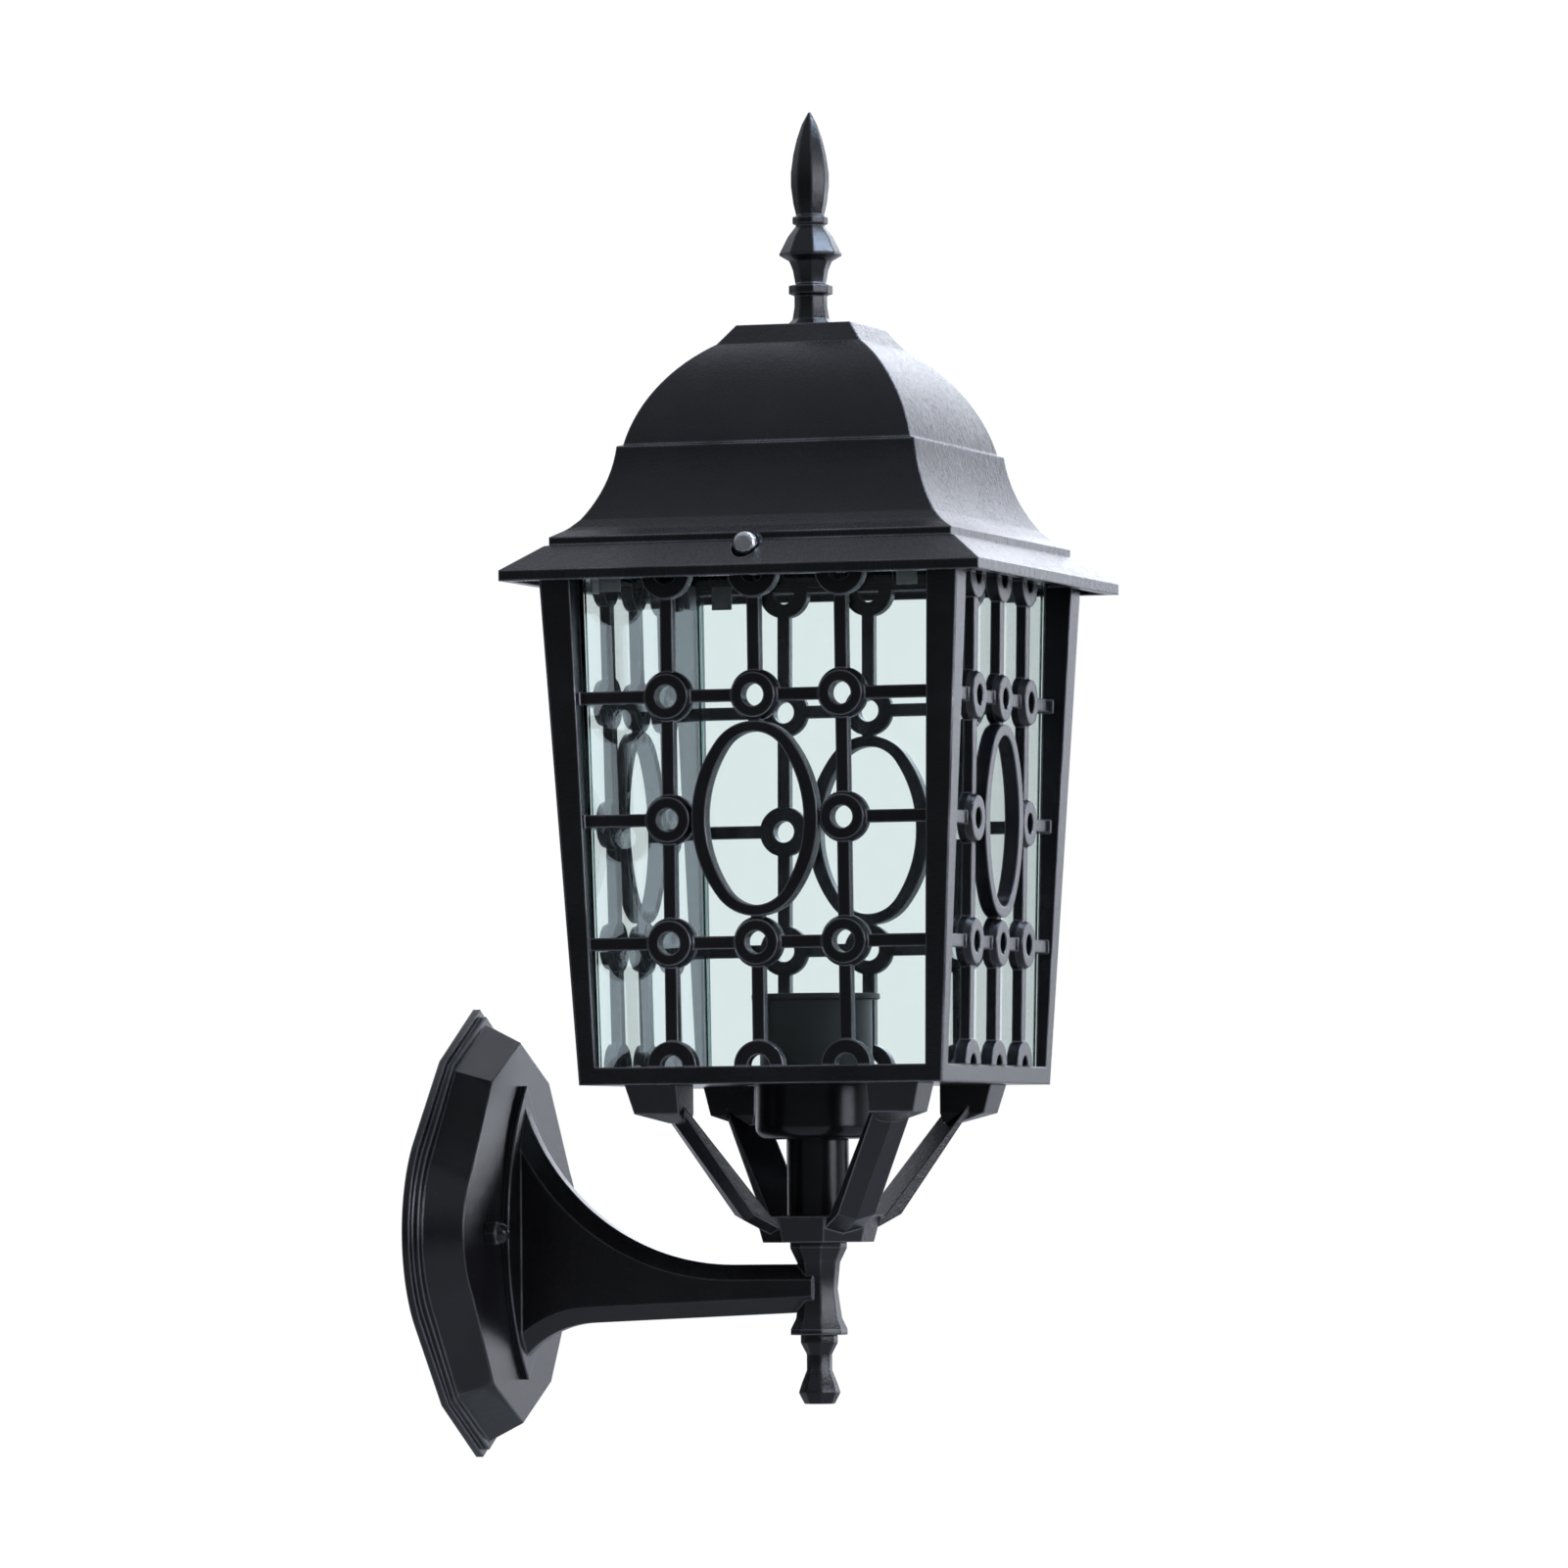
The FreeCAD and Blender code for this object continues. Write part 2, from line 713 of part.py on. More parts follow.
faceted(
    arm,
    "stem_top",
    [
        ("0", "stem_collar_radius"),
        ("-stem_collar", "stem_collar_radius"),
        ("-stem_neck_drop", "stem_neck_radius"),
        ("-stem_waist_drop", "stem_waist_radius"),
        ("-stem_flare_drop", "stem_flare_radius"),
        ("-stem_foot_drop", "stem_collar_radius"),
        ("-stem_collar", "stem_collar_radius"),
    ],
    on_stem,
)
pocket(arm, draw_circle(sketch_on(arm, "XY_Plane"), on_stem, "pipe_radius + fit"))
wire_way = draw_circle(sketch_on(arm, "XZ_Plane", "plate_depth - 1"), ("0", "wire_up"), "wire_bore")
pocket(arm, wire_way, "axis_reach - plate_depth + 1", Reversed=True)
arm_threads = sketch_on(arm, "XZ_Plane", "plate_depth - 1")
for up in ("arm_screw_high", "arm_screw_low"):
    draw_circle(arm_threads, ("0", up), "arm_screw_radius + fit")
pocket(arm, arm_threads, "arm_screw_depth + 1 + fit", Reversed=True)
node(arm, "bracket_arm")

# Drop: an eight-sided nut that closes the lower end of the threaded pipe
drop = new_body("drop_finial", on_axis=True)
faceted(
    drop,
    "stem_low",
    [
        ("0", "drop_bead_radius"),
        ("-drop_bead", "drop_bead_radius"),
        ("-drop_neck_drop", "drop_neck_radius"),
        ("-drop_neck_tall", "drop_neck_radius"),
        ("-drop_swell * 0.6", between("drop_neck_radius", "drop_bulge_radius", "0.65")),
        ("-drop_swell * 0.4", "drop_bulge_radius"),
        ("-drop_end_drop", "drop_end_radius"),
    ],
)
drop_thread = draw_circle(sketch_on(drop, "XY_Plane", "stem_low + 1"), ("0", "0"), "pipe_radius + fit")
pocket(drop, drop_thread, "drop_thread + 1 + fit")
node(drop, "drop_finial")

# Cradle: hub and four legs in one casting, drawn with the legs on its own X and Y axes
cradle = new_body("cradle")
cradle.Placement = Placement(Vector(), Rotation(Vector(0, 0, 1), 45))
tie(cradle, Placement__Base__y="-axis_reach")
faceted(cradle, "stem_top", [("0", "hub_low_radius"), ("hub_top - stem_top", "hub_radius")])
DIAGONAL = "sqrt(2)"


def foot_square(inner, outer):
    """A square on the lantern's axes, as it lies in the cradle's turned frame."""
    middle = f"({inner} + {outer}) / {DIAGONAL}"
    half = f"({outer} - {inner}) / {DIAGONAL}"
    near, far = f"({inner}) * {DIAGONAL}", f"({outer}) * {DIAGONAL}"
    return [(near, "0"), (middle, f"-({half})"), (far, "0"), (middle, half)]


foot_levels = [
    ("pad_low - gusset_tall", "(pad_inner + gusset_inset)", "(pad_outer - pad_draft - gusset_run)"),
    ("pad_low", "pad_inner", "(pad_outer - pad_draft)"),
    ("floor_low", "pad_inner", "pad_outer"),
]
foot_sketches = [
    draw(sketch_on(cradle, "XY_Plane", up), foot_square(inner, outer)) for up, inner, outer in foot_levels
]
foot_block = loft(cradle, foot_sketches)
leg_sections = [
    ("leg_root", "leg_root_up", "0.35", "hub_top - fit"),
    ("leg_heel_out", "leg_heel_up", "0.6", "hub_top"),
    ("leg_knee_out", "leg_knee_up", "0.6", "leg_knee_up + leg_knee_tall"),
    ("leg_top_out", "pad_low", "1", "pad_low + leg_top_tall"),
]
leg_sketches = []
for out, low, ridge, high in leg_sections:
    half_section = [("0", f"{low} - leg_ridge * {ridge}"), ("leg_half_width", low), ("leg_half_width", high)]
    other_half = [("-leg_half_width", high), ("-leg_half_width", low)]
    leg_sketches.append(draw(sketch_on(cradle, "YZ_Plane", out), half_section + other_half))
leg = loft(cradle, leg_sketches)
foot_middle = f"(pad_inner + pad_outer) / {DIAGONAL}"
foot_hole_sketch = sketch_on(cradle, "XY_Plane", "floor_low + 1")
draw_circle(foot_hole_sketch, (foot_middle, "0"), "foot_screw_radius + fit")
foot_hole = pocket(cradle, foot_hole_sketch, "foot_screw_depth + 1 + fit")
around = cradle.newObject("PartDesign::PolarPattern", "cradle_legs")
around.Originals = [foot_block, leg, foot_hole]
around.Axis = (next(item for item in cradle.Origin.OriginFeatures if item.Role == "Z_Axis"), [""])
around.Angle = 360
around.Occurrences = 4
cradle.Tip = around
pocket(cradle, draw_circle(sketch_on(cradle, "XY_Plane"), ("0", "0"), "pipe_radius + fit"))
node(cradle, "cradle")

# Threaded pipe: clamps drop, stem, hub, support tube and cup together
pipe_low = "stem_low - drop_thread"
pipe_high = "cup_floor + pipe_end"
pipe = revolved(
    "threaded_pipe",
    [("pipe_bore", pipe_low), ("pipe_radius", pipe_low), ("pipe_radius", pipe_high), ("pipe_bore", pipe_high)],
)
node(pipe, "threaded_pipe")

# Support tube between the hub and the cup
inside = "tube_radius - tube_wall"
tube_outside = [("tube_radius", "hub_top"), ("tube_radius", "cup_low")]
tube = revolved("support_tube", [(inside, "hub_top")] + tube_outside + [(inside, "cup_low")])
node(tube, "support_tube")

# Holder cup: a drawn cup with a rounded foot, and the nut that holds it on the pipe
cup = revolved(
    "holder_cup",
    [
        ("pipe_radius + fit", "cup_low"),
        ("cup_radius - cup_round", "cup_low"),
        ("cup_radius", "cup_low + cup_round"),
        ("cup_radius", "cup_top"),
        ("cup_radius - cup_wall", "cup_top"),
        ("cup_radius - cup_wall", "cup_low + cup_round"),
        ("cup_radius - cup_round", "cup_floor"),
        ("pipe_radius + fit", "cup_floor"),
    ],
    {1: ("cup_round", -1), 5: ("cup_round - cup_wall", 1)},
)
node(cup, "holder_cup")
nut = new_body("pipe_nut", on_axis=True)
nut_outline = sketch_on(nut, "XY_Plane", "cup_floor")
draw(nut_outline, hexagon("pipe_nut_radius"))
draw_circle(nut_outline, ("0", "0"), "pipe_radius + fit")
pad(nut, nut_outline, "pipe_nut_height")
node(nut, "pipe_nut")

# Lamp holder: a moulded shell with a lip, a brass screw shell and a sprung centre contact
holder_inside = "holder_radius - holder_wall"
ledge_radius = "thread_bore - thread_ledge"
holder = revolved(
    "lamp_holder",
    [
        ("0", "holder_floor"),
        (holder_inside, "holder_floor"),
        (holder_inside, "cup_floor"),
        ("cup_radius - cup_round - fit", "cup_floor"),
        ("holder_radius", "cup_low + cup_round"),
        ("holder_radius", "holder_top - holder_lip"),
        ("holder_radius + holder_lip_over", "holder_top - holder_lip"),
        ("holder_radius + holder_lip_over", "holder_top"),
        ("socket_radius", "holder_top"),
        ("socket_radius", "thread_low"),
        (ledge_radius, "thread_low"),
        (ledge_radius, "socket_floor"),
        ("0", "socket_floor"),
    ],
)
node(holder, "lamp_holder")
thread_outer = "thread_bore + thread_wall"
thread_top = "thread_low + thread_tall"
shell_outside = [(thread_outer, "thread_low"), (thread_outer, thread_top)]
shell = revolved(
    "screw_shell",
    [("thread_bore", "thread_low")] + shell_outside + [("thread_bore", thread_top)],
)
node(shell, "screw_shell")
contact = new_body("centre_contact", on_axis=True)
contact_profile = draw(
    sketch_on(contact, "XZ_Plane"),
    [
        ("-contact_reach", "socket_floor"),
        ("-contact_reach / 2", "socket_floor"),
        ("contact_reach / 2", "socket_floor + contact_rise"),
        ("contact_reach / 2", "socket_floor + contact_rise + contact_thick"),
        ("-contact_reach / 2 - contact_thick / 3", "socket_floor + contact_thick"),
        ("-contact_reach", "socket_floor + contact_thick"),
    ],
)
pad(contact, contact_profile, "contact_wide", SideType="Symmetric")
node(contact, "centre_contact")

# Lantern floor: a square plate on the cradle's feet, open in the middle for the cup
floor_half = "glass_low - fit"
floor = new_body("lantern_floor", on_axis=True)
floor_outline = sketch_on(floor, "XY_Plane", "floor_low")
draw_block(floor_outline, f"-({floor_half})", floor_half, f"-({floor_half})", floor_half)
draw_circle(floor_outline, ("0", "0"), "cup_radius + floor_hole_gap")
foot_signs = [(a, b) for a in (-1, 1) for b in (-1, 1)]
corners_of_feet = [(f"{a} * foot_screw_place", f"{b} * foot_screw_place") for a, b in foot_signs]
for place in corners_of_feet:
    draw_circle(floor_outline, place, "foot_screw_radius + fit")
pad(floor, floor_outline, "floor_thick")
lip_middle = "glass_low - lip_reach / 2"
lip_places = []
for along in ("-floor_screw_out", "floor_screw_out"):
    for side in ("-", ""):
        lip_places += [(along, f"{side}({lip_middle})"), (f"{side}({lip_middle})", along)]
countersinks = sketch_on(floor, "XY_Plane", "floor_low")
for place in lip_places:
    draw_circle(countersinks, place, "floor_screw_head + fit")
pocket(floor, countersinks, "floor_thick / 2", Reversed=True)
shank_holes = sketch_on(floor, "XY_Plane", "floor_low")
for place in lip_places:
    draw_circle(shank_holes, place, "floor_screw_radius + fit")
pocket(floor, shank_holes)
node(floor, "lantern_floor")

# Screws through the floor into the feet, and from below into the lips of the panels
foot_screws = [
    pan_screw(
        "foot_screw",
        "foot_screw_radius",
        "foot_screw_depth + floor_thick",
        "screw_head_radius",
        "screw_head_height",
        UPSIDE_DOWN,
        None,
        x=across,
        y=f"{along} - axis_reach",
        z="floor_high",
    )
    for across, along in corners_of_feet
]
node(joined("foot_screws", "Compound", foot_screws), "foot_screws")
floor_screws = [
    pan_screw(
        "floor_screw",
        "floor_screw_radius",
        "floor_thick / 2 + lip_thick",
        "floor_screw_head",
        "floor_thick / 2",
        None,
        UPSIDE_DOWN,
        x=across,
        y=f"{along} - axis_reach",
        z="floor_low + floor_thick / 2",
    )
    for across, along in lip_places
]
node(joined("floor_screws", "Compound", floor_screws), "floor_screws")


def lean(low, high, up):
    """A half-size of the body at a height, on the straight line between its two ends."""
    return f"({low} + ({high} - {low}) * ({up} - floor_low) / (body_top - floor_low))"


def on_glass_plane(body, lift="0"):
    """A sketch on the leaning plane of the glass or in front of it, measured up from the sill."""
    sketch = sketch_on(body, "XZ_Plane", f"{lean('glass_low', 'glass_high', 'sill_top')} + {lift}")
    sketch.AttachmentOffset = Placement(Vector(), Rotation(Vector(1, 0, 0), 1))
    tie(sketch, AttachmentOffset__Base__y="sill_top")
    tie(sketch, AttachmentOffset__Rotation__Angle="atan((glass_high - glass_low) / (body_top - floor_low))")
    return sketch


def half_ring(along, base, up):
    """Half of a round ring on a base line, above it or, where up is -1, below it."""
    outer = [("ring_radius", "0"), ("0", "ring_radius"), ("-ring_radius", "0")]
    inner = [("-ring_hole_radius", "0"), ("0", "ring_hole_radius"), ("ring_hole_radius", "0")]
    corners = [(f"{along} + {across}", f"{base} + {up} * {rise}") for across, rise in outer + inner]
    arcs = {side: ("ring_radius", -up) for side in (0, 1)}
    arcs.update({side: ("ring_hole_radius", up) for side in (3, 4)})
    return corners, arcs


def oval(wide, tall):
    """A tall oval of four arcs about the middle of the panel, and its arcs' radii."""
    across, up = f"({wide}) * cos(oval_joint * 1 deg)", f"({tall}) * sin(oval_joint * 1 deg)"
    side, end = f"({wide} - {across})", f"({tall} - {up})"
    side_radius = f"({side} * {side} + {up} * {up}) / (2 * {side})"
    end_radius = f"({end} * {end} + {across} * {across}) / (2 * {end})"
    signs = [(1, -1), (1, 1), (-1, 1), (-1, -1)]
    joints = [(f"{a} * {across}", f"window_tall / 2 + {b} * {up}") for a, b in signs]
    return joints, {0: (side_radius, -1), 1: (end_radius, -1), 2: (side_radius, -1), 3: (end_radius, -1)}


# Front panel: mitred posts and rails in one casting with a lattice of bars, rings and an oval
panel = new_body("front_panel", on_axis=True)


def mitred(up, near, far):
    """The plan of a panel between two depths, cut at 45 degrees where panels meet."""
    right = [(far, f"-({far})"), (near, f"-({near})")]
    left = [(f"-({across})", along) for across, along in reversed(right)]
    return draw(sketch_on(panel, "XY_Plane", up), right + left)


loft(panel, [mitred("floor_low", "glass_low", "outer_low"), mitred("body_top", "glass_high", "outer_high")])
jamb_low = f"({lean('glass_low', 'glass_high', 'sill_top')} - jamb_lip_low)"
jamb_high = f"({lean('glass_low', 'glass_high', 'head_low')} - jamb_lip_high)"
window_left = [(f"-{jamb_high}", "head_low"), (f"-{jamb_low}", "sill_top")]
window_right = [(jamb_low, "sill_top"), (jamb_high, "head_low")]
pocket(panel, draw(sketch_on(panel, "XZ_Plane"), window_left + window_right))
pad(panel, mitred("floor_high", "glass_low - lip_reach", "glass_low + 1"), "lip_thick")
lip_holes = sketch_on(panel, "XY_Plane", "floor_high")
for along in ("-floor_screw_out", "floor_screw_out"):
    draw_circle(lip_holes, (along, f"-({lip_middle})"), "floor_screw_radius + fit")
pocket(panel, lip_holes, "lip_thick + fit", Reversed=True)
tab = sketch_on(panel, "XY_Plane", "body_top")
tab_back = "-glass_high - fit"
draw_block(tab, "-tab_half_width", "tab_half_width", f"{tab_back} - tab_thick", tab_back)
pad(panel, tab, "tab_top - body_top")
pocket(panel, draw_circle(sketch_on(panel, "XZ_Plane"), ("0", "roof_screw_up"), "roof_screw_radius + fit"))
upright = on_glass_plane(panel)
bar_ends = ("ring_radius - 1", "window_tall - ring_radius + 1")
draw_block(upright, "-column_pitch - bar_half", "-column_pitch + bar_half", *bar_ends)
repeat(panel, pad(panel, upright, "bar_thick"), upright, "H_Axis", "column_pitch", 3)
for row in (1, 2, 3):
    crossbar = on_glass_plane(panel)
    row_up = f"{row} * row_pitch"
    row_half = f"{lean('glass_low', 'glass_high', f'(sill_top + {row_up})')} - jamb_lip_high / 2"
    draw_block(crossbar, f"-({row_half})", row_half, f"{row_up} - bar_half", f"{row_up} + bar_half")
    pad(panel, crossbar, "bar_thick")
arches = on_glass_plane(panel)
for column in (-1, 0, 1):
    for base, up in (("0", 1), ("window_tall", -1)):
        draw(arches, *half_ring(f"{column} * column_pitch", base, up))
pad(panel, arches, "ring_thick - 1")
rings = on_glass_plane(panel)
ring_steps = [(a, b) for b in (1, 2, 3) for a in (-1, 0, 1) if (a, b) != (0, 2)]
ring_places = [(f"{a} * column_pitch", f"{b} * row_pitch") for a, b in ring_steps]
for place in ring_places:
    draw_circle(rings, place, "ring_radius")
pad(panel, rings, "ring_base")
crowns = on_glass_plane(panel, "ring_base")
for place in ring_places:
    draw_circle(crowns, place, "ring_radius")
crown = pad(panel, crowns, "ring_thick - ring_base")
tie(crown, TaperAngle="-ring_bevel")
pad(panel, draw(on_glass_plane(panel), *oval("oval_half_width", "oval_half_height")), "ring_thick")
oval_inside = oval("(oval_half_width - oval_side_bar)", "(oval_half_height - oval_end_bar)")
holes = draw(on_glass_plane(panel), *oval_inside)
for place in ring_places:
    draw_circle(holes, place, "ring_hole_radius")
pocket(panel, holes, "2 * ring_thick", SideType="Symmetric")
node(panel, "front_panel")

pane_low = "floor_high + lip_thick - sill_top"
pane_high = "window_tall + pane_rise"


def glass(name, ease):
    """A pane behind the front lattice, standing on the panel's lip and eased at its two upright edges."""
    made = new_body(name, on_axis=True)
    ends = [lean("glass_low", "glass_high", f"(sill_top + {up})") for up in (pane_low, pane_high)]
    low, high = [f"({half} - ({ease}))" for half in ends]
    corners = [(f"-{high}", pane_high), (f"-{low}", pane_low), (low, pane_low), (high, pane_high)]
    pad(made, draw(on_glass_plane(made), corners), "pane_thick", Reversed=True)
    return made


# Front pane, and the narrower pane of the two sides, which stands between the front and rear panes
pane = node(glass("front_glass", "pane_gap"), "front_glass")
side_pane = glass("side_glass", "pane_thick + pane_gap")

# Spring clips that hook over the top of the pane, two to a panel
clips = []
for side in (-1, 1):
    clip = new_body("glass_clip", on_axis=True)
    clip_profile = sketch_on(clip, "YZ_Plane", f"{side} * (glass_high - clip_in) - clip_half_width")
    rail_back = f"-{lean('glass_low', 'glass_high', 'head_low')} + fit"
    pane_back = f"{rail_back} + pane_thick + fit"
    pane_top = "head_low + pane_rise + fit"
    draw(
        clip_profile,
        [
            (rail_back, pane_top),
            (pane_back, pane_top),
            (f"{pane_back} + 2 * fit", "head_low - clip_hang"),
            (f"{pane_back} + 2 * fit + clip_thick", "head_low - clip_hang"),
            (f"{pane_back} + clip_thick", f"{pane_top} + clip_thick"),
            (rail_back, f"{pane_top} + clip_thick"),
        ],
    )
    pad(clip, clip_profile, "2 * clip_half_width")
    clips.append(clip)
front_clips = joined("front_clips", "Compound", clips)

# The other three sides repeat the front about the lantern's axis
HALF = 0.5**0.5
SIDES = {"left": Vector(HALF, -HALF, 0), "right": Vector(HALF, HALF, 0), "rear": Vector(0, 1, 0)}


def turned_copy(source, name, normal):
    """The same piece on another side, mirrored in an upright plane through the lantern's axis."""
    made = doc.addObject("Part::Mirroring", name)
    made.Source = source
    made.Normal = normal
    tie(made, Base__y="-axis_reach")
    return made


all_clips = [front_clips]
for side, normal in SIDES.items():
    node(turned_copy(panel, f"{side}_panel", normal), f"{side}_panel")
    node(turned_copy(pane if side == "rear" else side_pane, f"{side}_glass", normal), f"{side}_glass")
    all_clips.append(turned_copy(front_clips, f"{side}_clips", normal))
node(joined("glass_clips", "Compound", all_clips), "glass_clips")


def square_form(name, half, arcs):
    """A form with square plans: the same outline run along both axes, and what the two share."""
    runs = []
    count = len(half)
    both = dict(arcs)
    for side, (radius, bulge) in arcs.items():
        both[2 * count - 2 - side] = (radius, bulge)
    for role in ("XZ_Plane", "YZ_Plane"):
        body = new_body(f"{name}_run", on_axis=True)
        pad(body, draw(sketch_on(body, role), mirrored(half), both), "2 * eave_half + 2", SideType="Symmetric")
        runs.append(body)
    return joined(name, "MultiCommon", runs)


# Roof: a cast shell with a flat cap, a domed slope, an ogee, two mouldings, a band and a plain rim
roof_outer = square_form(
    "roof_outer",
    [
        ("eave_half", "rim_low"),
        ("eave_half", "rim_high"),
        ("band_half", "band_high"),
        ("mould_half", "band_high + 0.4"),
        ("mould_half", "mould_high"),
        ("mould_upper_half", "mould_upper_high"),
        ("mould_upper_half - 1.6", "mould_upper_high + 1.2"),
        ("ogee_low_half", "ogee_low_high"),
        ("ogee_high_half", "ogee_high_high"),
        ("dome_low_half", "dome_low_high"),
        ("dome_high_half", "dome_high_high"),
        ("plateau_half", "plateau_high"),
    ],
    {7: ("ogee_radius", 1), 9: ("dome_bow_radius", -1)},
)
roof_inner = square_form(
    "roof_inner",
    [
        ("eave_half - rim_wall", "rim_low - 1"),
        ("eave_half - rim_wall", "rim_high - 1"),
        ("outer_high + seat_gap", "rim_high - 1"),
        ("outer_high + seat_gap", "body_top"),
        ("tab_room + 1", "body_top"),
        ("tab_room", "tab_top + 0.5"),
        ("ogee_low_half - roof_wall", "ogee_low_high"),
        ("ogee_high_half - roof_wall", "ogee_high_high"),
        ("dome_low_half - roof_wall", "dome_low_high"),
        ("dome_high_half - roof_wall / 2", "dome_high_high - roof_wall"),
        ("plateau_half - roof_wall / 2", "plateau_high - roof_wall"),
    ],
    {6: ("ogee_radius", 1), 8: ("dome_bow_radius", -1)},
)
roof_shell = cut("roof_shell", roof_outer, roof_inner)
bosses = []
finial_hole = cylinder("finial_hole", "finial_bolt_radius + fit", "2 * roof_wall", y="-axis_reach")
tie(finial_hole, Placement__Base__z="plateau_high - roof_wall * 1.5")
openings = [finial_hole]
level = {"y": "-axis_reach", "z": "roof_screw_up"}
for sign, turn in (("", TO_RIGHT), ("-", TO_LEFT)):
    boss = cylinder("screw_boss", "roof_boss_radius", "roof_screw_seat - tab_room - fit", turn, **level)
    tie(boss, Placement__Base__x=f"{sign}(tab_room + fit)")
    bosses.append(boss)
    spot = cylinder("spot_face", "roof_boss_radius", "2 * (eave_half - roof_screw_seat)", turn, **level)
    tie(spot, Placement__Base__x=f"{sign}roof_screw_seat")
    way = cylinder("screw_way", "roof_screw_radius + fit", "roof_screw_seat", turn, **level)
    tie(way, Placement__Base__x=f"{sign}glass_high")
    openings += [spot, way]
roof_with_bosses = joined("roof_with_bosses", "MultiFuse", [roof_shell] + bosses)
roof = cut("roof", roof_with_bosses, joined("roof_openings", "MultiFuse", openings))
node(roof, "roof")

# Roof screws, through the roof's sides into the tabs of the left and right panels
roof_screws = [
    pan_screw(
        "roof_screw",
        "roof_screw_radius",
        "roof_screw_seat - glass_high",
        "roof_screw_head",
        "roof_screw_head_height",
        inward,
        outward,
        x=f"{sign}roof_screw_seat",
        y="-axis_reach",
        z="roof_screw_up",
    )
    for sign, inward, outward in (("", TO_LEFT, TO_RIGHT), ("-", TO_RIGHT, TO_LEFT))
]
node(joined("roof_screws", "Compound", roof_screws), "roof_screws")

# Finial: an eight-sided spear on a bell, with the bolt and nut that hold it on the roof
finial = new_body("finial", on_axis=True)
faceted(
    finial,
    "plateau_high",
    [
        ("0", "finial_base_radius"),
        ("finial_neck_rise * 0.4", between("finial_base_radius", "finial_neck_radius", "0.8")),
        ("finial_neck_rise * 0.6", "finial_neck_radius"),
        ("finial_collar_rise", "finial_neck_radius"),
        ("finial_edge", "finial_ring_radius"),
        ("finial_ring_tall", "finial_ring_radius"),
        ("finial_edge", "finial_waist_radius"),
        ("finial_bell_rise * 0.6", between("finial_waist_radius", "finial_bell_under", "0.4")),
        ("finial_bell_rise * 0.4", "finial_bell_under"),
        ("finial_bell_flare", "finial_bell_radius"),
        ("finial_edge", "finial_bell_radius"),
        ("finial_bell_slope * 0.6", between("finial_bell_radius", "finial_throat_radius", "0.5")),
        ("finial_bell_slope * 0.4", "finial_throat_radius"),
        ("finial_edge", "finial_band_radius"),
        ("finial_band_tall", "finial_band_radius"),
        ("finial_edge", "finial_throat_radius"),
        ("finial_spear_rise * 0.4", between("finial_throat_radius", "finial_spear_radius", "0.55")),
        ("finial_spear_rise * 0.6", "finial_spear_radius"),
        ("finial_spear_hold", "finial_spear_radius"),
        ("finial_point_rise * 0.3", between("finial_spear_radius", "finial_tip_radius", "0.14")),
        ("finial_point_rise * 0.25", between("finial_spear_radius", "finial_tip_radius", "0.34")),
        ("finial_point_rise * 0.25", between("finial_spear_radius", "finial_tip_radius", "0.63")),
        ("finial_point_rise * 0.2", "finial_tip_radius"),
    ],
)
bolt_hole = sketch_on(finial, "XY_Plane", "plateau_high - 1")
draw_circle(bolt_hole, ("0", "0"), "finial_bolt_radius + fit")
pocket(finial, bolt_hole, "finial_bolt_in + 1 + fit", Reversed=True)
node(finial, "finial")
bolt_low = "plateau_high - roof_wall - finial_bolt_out"
bolt_length = "finial_bolt_in + roof_wall + finial_bolt_out"
bolt = cylinder("finial_bolt", "finial_bolt_radius", bolt_length, y="-axis_reach", z=bolt_low)
node(bolt, "finial_bolt")
top_nut = new_body("finial_nut", on_axis=True)
top_nut_outline = sketch_on(top_nut, "XY_Plane", "plateau_high - roof_wall - finial_nut_height")
draw(top_nut_outline, hexagon("finial_nut_radius"))
draw_circle(top_nut_outline, ("0", "0"), "finial_bolt_radius + fit")
pad(top_nut, top_nut_outline, "finial_nut_height")
node(top_nut, "finial_nut")

# Every object has to be whole before any file is written
doc.recompute()
failed = [item.Label for item in doc.Objects if "Invalid" in item.State or "Error" in item.State]
if failed:
    raise RuntimeError(f"not built: {failed}")
for piece in NODES:
    if piece.Shape.isNull() or not piece.Shape.isValid():
        raise RuntimeError(f"not a sound shape: {piece.Label}")
for piece in NODES:
    piece.Shape.exportStep(f"parts/{piece.Label}.step")
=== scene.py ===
import math

import bmesh
import bpy
from mathutils import Euler, Matrix, Vector


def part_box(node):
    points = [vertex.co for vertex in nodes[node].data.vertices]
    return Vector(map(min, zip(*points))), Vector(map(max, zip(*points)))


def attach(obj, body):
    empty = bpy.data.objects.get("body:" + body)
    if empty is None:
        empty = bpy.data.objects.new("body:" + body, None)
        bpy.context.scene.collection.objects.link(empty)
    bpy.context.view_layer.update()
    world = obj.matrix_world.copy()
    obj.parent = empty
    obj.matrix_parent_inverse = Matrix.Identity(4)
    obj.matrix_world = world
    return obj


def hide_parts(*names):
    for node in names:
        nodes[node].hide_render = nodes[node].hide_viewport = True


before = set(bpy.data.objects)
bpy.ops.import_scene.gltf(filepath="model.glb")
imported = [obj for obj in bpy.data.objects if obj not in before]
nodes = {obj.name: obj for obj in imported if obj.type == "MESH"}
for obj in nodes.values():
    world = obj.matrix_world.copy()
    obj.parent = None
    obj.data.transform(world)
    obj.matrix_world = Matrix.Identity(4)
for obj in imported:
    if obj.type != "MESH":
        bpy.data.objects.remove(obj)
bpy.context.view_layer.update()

# Mounting strap: a flat bar that two screws hold to the wall, cut and punched from steel strip.
# It is zinc plated, a little cloudy, with its sheared edges barely broken.
STRAP_EDGE = 0.0003
ZINC = (0.62, 0.62, 0.6, 1)
ZINC_GLOSS = 0.3
CLOUD_SHADE = 0.7
CLOUD_GRAIN = 260.0
